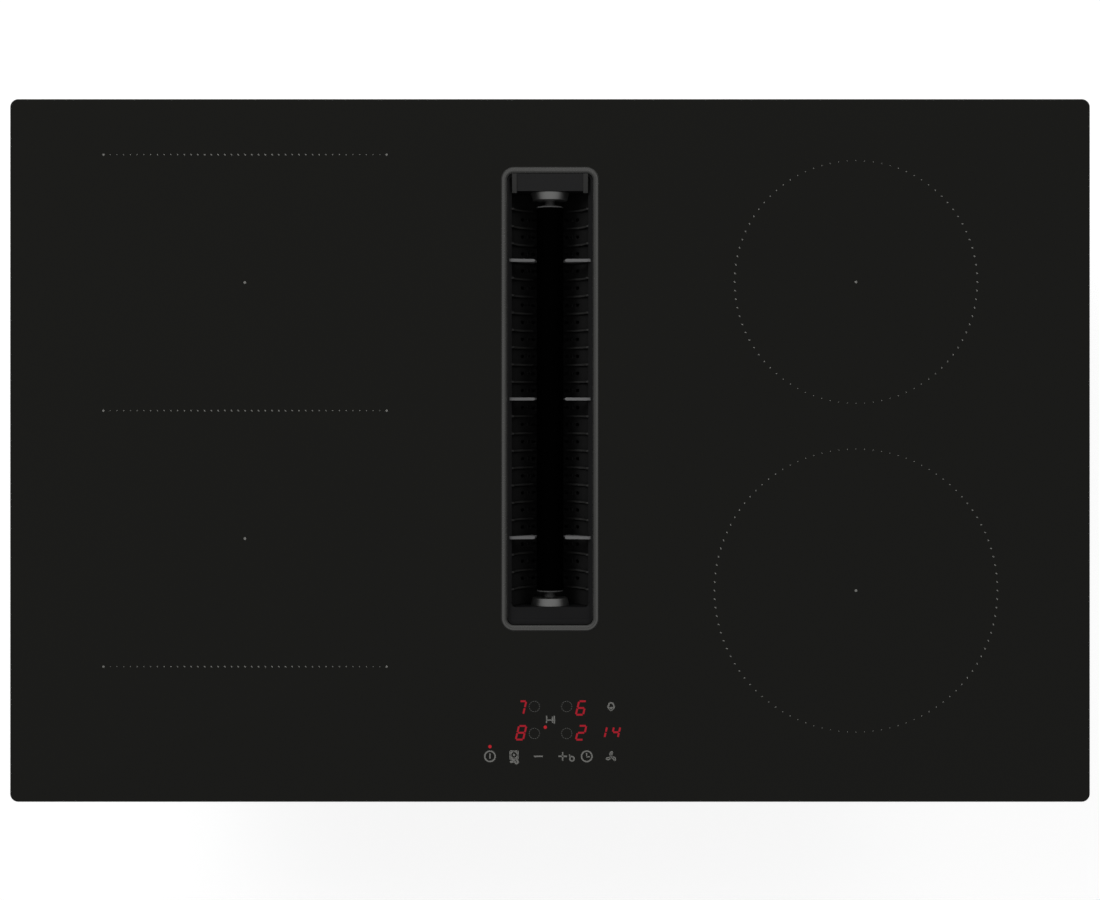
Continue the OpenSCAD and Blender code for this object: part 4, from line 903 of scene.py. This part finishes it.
def key(place: int, pitch: float = 18.0) -> Point:
    """Middle of a key in the front row, counted from the left."""
    return -44.6 + pitch * place, -227.1


SIGNS: dict[str, tuple[tuple[Point, tuple[Stroke, ...]], ...]] = {
    "power_and_pan_signs": (
        (key(0), (ring(0, 0, 3.85), Stroke([(0, 2.1), (0, 0), (0, -1.7)], 0.95))),
        (key(1), (Stroke([(-3.1, 4.0), (2.9, 4.0)], 0.8), Stroke([(2.9, 4.3), (2.9, -2.2)], 0.8),
                  Stroke([(3.2, -2.0), (-3.4, -2.0)], 0.8),
                  Stroke([(-3.1, -1.8), (-3.1, 3.9)], 0.8), ring(-0.1, 1.0, 2.55, 0.95),
                  ring(-0.1, 1.0, 0.45, 0.9), Stroke([(-3.1, -4.1), (-0.4, -4.1)], 1.6),
                  Stroke([(-1.7, -2.9), (1.5, -2.9)], 0.9), ring(1.7, -4.2, 1.15, 1.2)))),
    "plus_minus_lock_signs": (
        (key(2), (Stroke([(-3.3, 0), (3.3, 0)]),)),
        (key(3), (Stroke([(-3.2, 0), (3.2, 0)]), Stroke([(0, 3.2), (0, -3.2)]),
                  ring(6.9, -1.8, 1.65, 1.0),
                  Stroke([(5.0, 1.5), (5.2, 0.5), (5.4, -0.8)], 0.8))),
        ((0, -200), (Stroke([(-2.6, 3.0), (-2.4, 0.3), (-2.6, -2.4)], 0.9),
                     Stroke([(-2.4, -0.2), (1.2, -0.2)], 0.9),
                     Stroke([(2.0, 2.4), (1.4, -0.1), (2.0, -2.3)], 0.85),
                     Stroke([(1.9, 0.1), (3.0, 0.1)], 1.9),
                     Stroke([(3.2, 3.0), (3.2, -2.8)])))),
    "clock_and_fan_signs": (
        (key(4), (ring(-0.1, 0, 3.9), Stroke([(-0.2, 2.6), (-0.2, -0.4)], 0.9),
                  Stroke([(-0.4, -0.3), (2.2, -0.3)], 0.9))),
        ((45.4, -227.5), (*fan_blades(), ring(0, 0, 0.6, 1.1)))),
    "filter_sign": (
        ((45.4, -190.1), (drop_outline(), Stroke([(-1.5, -1.1), (1.5, -1.1)], 1.3),
                          Stroke([(-0.7, -2.2), (0.7, -2.2)], 1.0))),),
}


@dataclass
class ControlPrint(Print):
    """Lit digits, key symbols and small marks at the front of the glass.

    Attributes:
        slant: sideways lean of the digits for each unit of height.
        bar_width: width of a digit's bars.
        bar_gap: how much a bar is shortened at each end.
        digits: figure, place of its middle, width and height of each digit.
        lamps: places of the round lamps.
        lamp_radius: their radius.
        small_rings: places of the dotted rings beside the digits.
        small_radius: their radius.
        small_dots: dots of each ring.
        small_axes: half axes of these dots.
    """

    slant: float = 0.24
    bar_width: float = 1.35
    bar_gap: float = 0.42
    digits: tuple[tuple[str, float, float, float, float], ...] = (
        ("7", -21.1, -191.0, 4.7, 9.6), ("6", 23.1, -191.2, 5.4, 10.0),
        ("8", -21.5, -209.6, 5.5, 10.1), ("2", 23.1, -209.6, 5.4, 10.3),
        ("1", 39.6, -209.2, 3.6, 7.9), ("4", 48.9, -209.2, 4.7, 7.8))
    lamps: tuple[Point, ...] = ((-3.5, -205.5), (-44.6, -219.9))
    lamp_radius: float = 1.25
    small_rings: tuple[Point, ...] = ((-11.6, -190.1), (12.4, -190.1), (-11.6, -210.1),
                                      (12.4, -210.1))
    small_radius: float = 3.85
    small_dots: int = 14
    small_axes: Point = (0.72, 0.3)

    def build(self) -> None:
        """Makes every mark of the control field."""
        self.lit_digits()
        for name, signs in SIGNS.items():
            shape = Shape()
            for middle, strokes in signs:
                for stroke in strokes:
                    line = np.asarray(stroke.points, float) + middle
                    self.stroke(shape, line, stroke.width, stroke.closed)
            shape.piece(name, FRIT, "hob", "black_glass")
        self.key_rings()

    def lit_digits(self) -> None:
        """Seven-bar digits that lean to the right, and two round lamps."""
        shape = Shape()
        for digit, x, y, width, height in self.digits:
            for bar in DIGITS[digit]:
                start, end = (np.array(bar.value) - 0.5) * [width, height]
                gap = (end - start) / np.linalg.norm(end - start) * self.bar_gap
                line = np.linspace(start + gap, end - gap, 3)
                line[:, 0] += self.slant * line[:, 1]
                self.stroke(shape, line + [x, y], self.bar_width)
        shape.piece("lit_digits", RED_GLOW, "hob", "display_red")
        lamps = np.array(self.lamps)
        self.plates(lamps, np.full(lamps.shape, self.lamp_radius), np.zeros(len(lamps))).piece(
            "lit_lamps", RED_LAMP, "hob", "display_red")

    def key_rings(self) -> None:
        """Small rings of dots: each centre plus the radius times (cos, sin) of a full turn."""
        angle = TAU * np.arange(self.small_dots) / self.small_dots
        places = np.array(self.small_rings)[:, None] + self.small_radius * np.stack(
            [np.cos(angle), np.sin(angle)], -1)[None]
        places = places.reshape(-1, 2)
        axes = np.tile(self.small_axes, (len(places), 1))
        turns = np.tile(angle + math.pi / 2, len(self.small_rings))
        self.plates(places, axes, turns, 10).piece("zone_key_rings", FAINT_FRIT, "hob",
                                                   "black_glass")


# ---------------------------------------------------------------- inlet and filter insert


@dataclass
class InletFrame:
    """The raised bezel with its two ridges, its collar and the ledge that carries the insert.

    Attributes:
        lip: width of the lip.
        corner: outer corner radius.
        rise: height of the lip over its seal.
        collar: thickness of the collar.
        ledge: width and thickness of the ledge.
        ledge_drop: how far the ledge lies under the lip.
        fillet: width and height of the slope between collar and ledge.
        ridge: shares of the lip's width and height along its upper surface.
    """

    lip: float = 4.3
    corner: float = 9.5
    rise: float = 1.2
    collar: float = 0.9
    ledge: float = 1.2
    ledge_drop: float = 8.9
    fillet: Point = (0.12, 0.15)
    ridge: tuple[Point, ...] = (
        (0.0, 0.0), (0.0, 0.04), (0.02, 0.08), (0.12, 0.5), (0.18, 0.7), (0.22, 0.76),
        (0.3, 0.79), (0.5, 0.79), (0.54, 0.82), (0.58, 0.96), (0.62, 1.0), (0.66, 0.98),
        (0.8, 0.66), (0.9, 0.4), (0.95, 0.1), (1.0, 0.0))

    def build(self) -> None:
        """Makes the frame as one closed profile carried round its outline."""
        low, high = box_mm("inlet_frame")
        width, length = (high - low)[:2]
        foot = high[2] - self.rise
        top = smooth_path(self.ridge, 3) * [self.lip, self.rise] + [0, foot]
        lip, inner = self.lip, self.lip - self.collar
        shelf, under = foot - self.ledge_drop, foot - self.ledge_drop - self.ledge
        below = [(lip, shelf + self.fillet[1]), (lip + self.fillet[0], shelf),
                 (lip + self.ledge, shelf), (lip + self.ledge, under), (inner, under),
                 (inner, foot)]
        profile = np.vstack([np.clip(top, [0, foot], [lip, high[2]]), below])
        loops = outlines(profile, width, length, self.corner, (high + low)[:2] / 2, 14)
        Shape().grid(loops, ring=True, tube=True).piece(
            "inlet_frame_ridged", BEZEL, "hob", "dark_bezel", ["inlet_frame"], sharp=40)


@dataclass
class FilterInsert:
    """The lift-out insert: basket, cross bars, grip, its caps, axle and bosses.

    Attributes:
        tube_wall: wall of the grip tube.
        tube_edge: rounding of the tube's ends.
        cap_fit: gaps between cap and tube: round the rim, at the end and in the bore.
        cap_plug: how far a cap reaches into the tube.
        cap_hub: radii from the axle and heights of the cap's inner face.
        cap_rim: radii from the cap's rim and heights of its outer face.
        boss_length: length of a boss.
        boss_taper: how much slimmer its inner end is.
        boss_edge: rounding of its edges.
        boss_hub: radii and heights of the hollow round the axle.
        boss_groove: radii from the slim rim and heights of the shallow groove.
        plate_length: reach of the rear plate from the basket's end; the plate's faces get painted
            light.
        plate_width: width of the rear plate.
        plate_depth: how far the plate's faces lie under the basket's top.
        plate_slack: how far a face's middle may lie outside the plate's width.
        border_width: width of the plate's raised borders, which get a painted highlight.
        slat_depth: how far the slats start under the basket's top.
        slat_start: distance of the slats from the middle.
    """

    tube_wall: float = 1.6
    tube_edge: float = 1.0
    cap_fit: tuple[float, float, float] = (0.2, 0.02, 0.1)
    cap_plug: float = 3.0
    cap_hub: tuple[Point, ...] = ((0.0, 0.0), (1.6, 0.0), (2.0, -0.35))
    cap_rim: tuple[Point, ...] = ((-2.2, -0.35), (-1.7, 0.0), (-0.5, 0.0), (0.0, -0.5))
    boss_length: float = 5.9
    boss_taper: float = 1.4
    boss_edge: float = 0.4
    boss_hub: tuple[Point, ...] = ((5.2, -0.4), (5.5, -0.1), (5.7, 0.0))
    boss_groove: tuple[Point, ...] = ((-3.4, 0.0), (-3.1, 0.25), (-2.7, 0.25), (-2.4, 0.0))
    plate_length: float = 14.6
    plate_width: float = 56.4
    plate_depth: float = 7.5
    plate_slack: float = 0.1
    border_width: float = 3.5
    slat_depth: float = 8.4
    slat_start: float = 12.0

    def build(self) -> None:
        """Makes the turned pieces and eases the moulded ones."""
        self.grip()
        self.bosses()
        self.basket()
        eased_copy("cross_bars", BARS)
        eased_copy("condensate_tray", TRAY)

    def basket(self) -> None:
        """Eases the basket and, by the places of the faces, gives its rear plate, that plate's
        borders and its slats a lighter tone than its rim and its ends. The rear plate's tone is
        painted light falling from the back, and its borders' still lighter tone is a painted
        highlight on their rounded edges."""
        basket = eased_copy("filter_basket", BASKET, 0.25)
        low, high = box_mm("filter_basket")
        x, y, z = (face_centres(basket.data) - (low + high) / 2 * [1, 1, 0]).T
        x, half = abs(x), self.plate_width / 2
        end = (high[1] - low[1]) / 2
        upper = z > high[2] - self.plate_depth
        # The rear plate's faces get painted light from the back, and their borders a painted edge
        # highlight.
        rear = (y > end - self.plate_length) & upper & (x < half + self.plate_slack)
        border_highlight = rear & (x > half - self.border_width)
        slats = (z < high[2] - self.slat_depth) & (abs(y) < end - self.plate_length) \
            & (x > self.slat_start)
        split_finish(basket, [PAINTED_LIGHT_PLATE, PAINTED_HIGHLIGHT_BORDER, SLAT], np.select([border_highlight, rear, slats], [2, 1, 3], 0))

    def grip(self) -> None:
        """Tube and end caps, turned about the grip's axis."""
        low, high = box_mm("grip_tube")
        radius = (high[0] - low[0]) / 2
        half = (high[1] - low[1]) / 2
        centre = (low + high) / 2
        e, inner = self.tube_edge, radius - self.tube_wall
        bend = np.linspace(0, math.pi / 2, 5)
        round_end = np.stack([radius - e + e * np.sin(bend), half - e + e * np.cos(bend)], -1)
        profile = np.vstack([[[inner, half]], round_end, round_end[::-1] * [1, -1],
                             [[inner, -half]]])
        Shape().turned(profile, centre, 72).piece(
            "grip_tube_rounded", GRIP, "filter_insert", "grip_black", ["grip_tube"])
        cap_low, cap_high = box_mm("grip_end_caps")
        reach = (cap_high[1] - cap_low[1]) / 2
        rod, (round_gap, end_gap, bore_gap) = self.axle_radius(), self.cap_fit
        rim = np.vstack([np.array(self.cap_hub) + [rod, reach],
                         np.array(self.cap_rim) + [radius - round_gap, reach],
                         [[radius - round_gap, half + end_gap],
                          [inner - bore_gap, half + end_gap],
                          [inner - bore_gap, half - self.cap_plug], [rod, half - self.cap_plug]]])
        for name, side in (("rear", 1), ("front", -1)):
            Shape().turned(rim * [1, side], centre, 72).piece(
                f"grip_cap_{name}", CAP, "filter_insert", "cap_grey", ["grip_end_caps"])

    @staticmethod
    def axle_radius() -> float:
        """Radius of the axle that caps and bosses sit on."""
        low, high = box_mm("grip_axle")
        return (high[0] - low[0]) / 2

    def bosses(self) -> None:
        """Two turned bosses that taper to their inner end, with a shallow groove there."""
        low, high = box_mm("end_bosses")
        rod, radius = self.axle_radius(), (high[0] - low[0]) / 2
        outer = (high[1] - low[1]) / 2
        inner, slim, e = outer - self.boss_length, radius - self.boss_taper, self.boss_edge
        bend = np.linspace(0, math.pi / 2, 6)
        rim = np.stack([slim - e + e * np.sin(bend), inner + e - e * np.cos(bend)], -1)
        base = np.stack([radius - e + e * np.cos(bend), outer - e + e * np.sin(bend)], -1)
        profile = np.vstack([[[rod, inner + self.boss_hub[0][1]]],
                             np.array(self.boss_hub) + [0, inner],
                             np.array(self.boss_groove) + [slim, inner], rim, base,
                             [[rod, outer]]])
        for name, side in (("rear", 1), ("front", -1)):
            Shape().turned(profile * [1, side], (low + high) / 2, 96).piece(
                f"end_boss_{name}", BOSS, "filter_insert", "bright_boss", ["end_bosses"])


# ---------------------------------------------------------------- case and ventilation


@dataclass
class Casing:
    """Sheet-metal and moulded pieces under the glass, with their edges eased.

    Attributes:
        nodes: CAD node, finish and width of the eased edge of each piece.
    """

    nodes: tuple[tuple[str, Finish, float], ...] = (
        ("support_frame", ZINC, 0.25), ("base_tray", ZINC, 0.25),
        ("worktop_springs", SPRING, 0.15), ("inlet_well", HOUSING, 0.3),
        ("upper_housing", HOUSING, 0.6), ("fan_deck", HOUSING, 0.4),
        ("lower_housing", HOUSING, 0.6), ("outlet_collar", HOUSING, 0.4),
        ("overflow_tank", TANK, 0.5), ("terminal_box", HOUSING, 0.4),
        ("terminal_cover", HOUSING, 0.4), ("cable_gland", GLAND, 0.3),
        ("outlet_seal", RUBBER, 0.2), ("glass_seal", FOAM, 0.15))

    def build(self) -> None:
        """Eases the edges of every node in the list."""
        for node, finish, width in self.nodes:
            eased_copy(node, finish, width)


# ---------------------------------------------------------------- light and camera


@dataclass
class Studio:
    """Floor, sky, soft lamps and the camera over the inlet slot.

    Attributes:
        frame_width: width of the photograph's frame at the glass.
        frame_centre_y: middle of the frame along Y.
        height: distance from the glass to the camera.
        sensor: width of the camera's sensor.
        sight: distance in metres that the camera sees.
        zenith: brightness of the sky overhead.
        horizon: mean brightness of the sky at the horizon.
        dusk: upward parts of a direction between which the horizon gives way to the zenith.
        lean: how much brighter the horizon is towards +X and towards +Y.
        sides: how much darker the horizon is at the left and at the right.
        night: least brightness of the horizon.
        open_sky: brightness of the sky where it is looked at directly.
        floor_tone: colour of the floor in the light of the stage.
        floor_glow: what a look straight at the floor adds to it.
        floor_reach: half the floor's size in metres.
        floor_level: level of the floor in metres.
        lamps: name, place in metres, size in metres and power of each lamp.
        lamp_aim: height in metres that the lamps face.
    """

    frame_width: float = 816.85
    frame_centre_y: float = 0.37
    height: float = 1500.0
    sensor: float = 36.0
    sight: float = 50.0
    zenith: float = 0.24
    horizon: float = 0.2
    dusk: Point = (0.25, 0.85)
    lean: Point = (-0.02, 0.1)
    sides: float = 0.12
    night: float = 0.06
    open_sky: float = 0.8
    floor_tone: float = 0.36
    floor_glow: float = 0.86
    floor_reach: float = 30.0
    floor_level: float = -0.0004
    lamps: tuple[tuple[str, tuple[float, float, float], float, float], ...] = (
        ("key_lamp", (-2.0, 1.8, 2.6), 1.8, 52.0), ("fill_lamp", (1.9, 1.9, 2.5), 1.8, 24.0),
        ("front_lamp", (-1.9, -2.2, 1.8), 1.8, 8.0))
    lamp_aim: float = 0.15

    def build(self) -> None:
        """Makes the stage."""
        self.camera()
        self.sky()
        self.floor()
        for lamp in self.lamps:
            self.lamp(*lamp)

    def camera(self) -> None:
        """Camera straight above the slot, with a small shift that keeps the frame."""
        lip_low, lip_high = box_mm("inlet_frame")
        top = box_mm("glass_panel")[1][2]
        slot_y = float(lip_low[1] + lip_high[1]) / 2
        data = bpy.data.cameras.new("photo_camera")
        data.sensor_width = self.sensor
        data.lens = self.sensor * self.height / self.frame_width
        data.shift_y = (self.frame_centre_y - slot_y) / self.frame_width
        data.clip_end = self.sight
        camera = bpy.data.objects.new("photo_camera", data)
        camera.location = (0.0, slot_y * MM, (top + self.height) * MM)
        bpy.context.scene.collection.objects.link(camera)
        bpy.context.scene.camera = camera

    def sky(self) -> None:
        """World that is darker at the sides than at the back and overhead.

        The horizon's brightness is its mean plus the direction's dot product with the lean,
        less the sides' share of |x|. A smooth step of the direction's upward part leads from
        it to the zenith's.
        """
        world = bpy.data.worlds.new("studio_sky")
        graph = Graph(world)
        place = graph.add("TexCoord").outputs["Generated"]
        split = graph.add("SeparateXYZ", {0: place}).outputs
        level = graph.add("VectorMath", {0: place, 1: (*self.lean, 0.0)},
                          operation="DOT_PRODUCT").outputs["Value"]
        level = graph.maths("ADD", level, self.horizon)
        level = graph.maths("MULTIPLY_ADD", graph.maths("ABSOLUTE", split["X"]), -self.sides,
                            level)
        level = graph.add("MapRange", {
            "Value": split["Z"], "From Min": self.dusk[0], "From Max": self.dusk[1],
            "To Min": graph.maths("MAXIMUM", level, self.night), "To Max": self.zenith},
            interpolation_type="SMOOTHSTEP").outputs[0]
        seen = graph.add("LightPath").outputs["Is Camera Ray"]
        level = graph.maths("MAXIMUM", graph.maths("MULTIPLY", seen, self.open_sky), level)
        back = graph.add("Background", {"Strength": level}).outputs[0]
        graph.add("OutputWorld", {"Surface": back})
        bpy.context.scene.world = world

    def floor(self) -> None:
        """White floor that keeps the shadow and can't be seen from below."""
        material = bpy.data.materials.new("studio_floor")
        graph = Graph(material)
        rays = graph.add("LightPath").outputs
        seen = graph.maths("MAXIMUM", rays["Is Camera Ray"], rays["Is Glossy Ray"])
        seen = graph.maths("MAXIMUM", seen, rays["Is Transmission Ray"])
        both = graph.add("AddShader", {
            0: graph.add("BsdfDiffuse", {"Color": (self.floor_tone,) * 3}).outputs[0],
            1: graph.add("Emission", {"Strength": graph.maths("MULTIPLY", seen, self.floor_glow)}
                         ).outputs[0]})
        mix = graph.add("MixShader", {
            0: graph.add("NewGeometry").outputs["Backfacing"], 1: both.outputs[0],
            2: graph.add("BsdfTransparent").outputs[0]})
        graph.add("OutputMaterial", {"Surface": mix.outputs[0]})
        mesh = bpy.data.meshes.new("studio_floor")
        far, level = self.floor_reach, self.floor_level
        mesh.from_pydata([(-far, -far, level), (far, -far, level), (far, far, level),
                          (-far, far, level)], [], [(0, 1, 2, 3)])
        mesh.materials.append(material)
        floor = bpy.data.objects.new("studio_floor", mesh)
        bpy.context.scene.collection.objects.link(floor)

    def lamp(self, name: str, place: Sequence[float], size: float, power: float) -> None:
        """Adds a square soft lamp that isn't mirrored by glass or metal.

        Args:
            name: name of the lamp.
            place: its place in metres.
            size: its size in metres.
            power: its power in watts.
        """
        data = bpy.data.lights.new(name, "AREA")
        data.size = size
        data.energy = power
        lamp = bpy.data.objects.new(name, data)
        lamp.location = place
        lamp.visible_glossy = False
        lamp.rotation_mode = "QUATERNION"
        aim = Vector((0.0, 0.0, self.lamp_aim)) - Vector(place)
        lamp.rotation_quaternion = aim.to_track_quat("-Z", "Y")
        bpy.context.scene.collection.objects.link(lamp)


def dress_nodes() -> None:
    """Gives every CAD node that is still shown its finish, by its slot in the record."""
    finishes = {finish.name: finish for finish in FINISHES}
    for part in frame["record"]["subparts"]:
        node = frame["nodes"][part["node"]]
        node.data.materials.clear()
        node.data.materials.append(finishes[part["material_slot"]].material())
        log.info("%s: %s", part["node"], part["material_slot"])


def main() -> None:
    """Builds the cooktop's pieces and its stage in order."""
    logging.basicConfig(level=logging.INFO, format="%(message)s")
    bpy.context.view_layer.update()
    bpy.context.scene.view_settings.view_transform = "Standard"
    Studio().build()
    dress_nodes()
    top = float(box_mm("glass_panel")[1][2])
    Glass().build()
    ZonePrint(top).build()
    ControlPrint(top).build()
    InletFrame().build()
    FilterInsert().build()
    Casing().build()


if __name__ == "__main__":
    main()
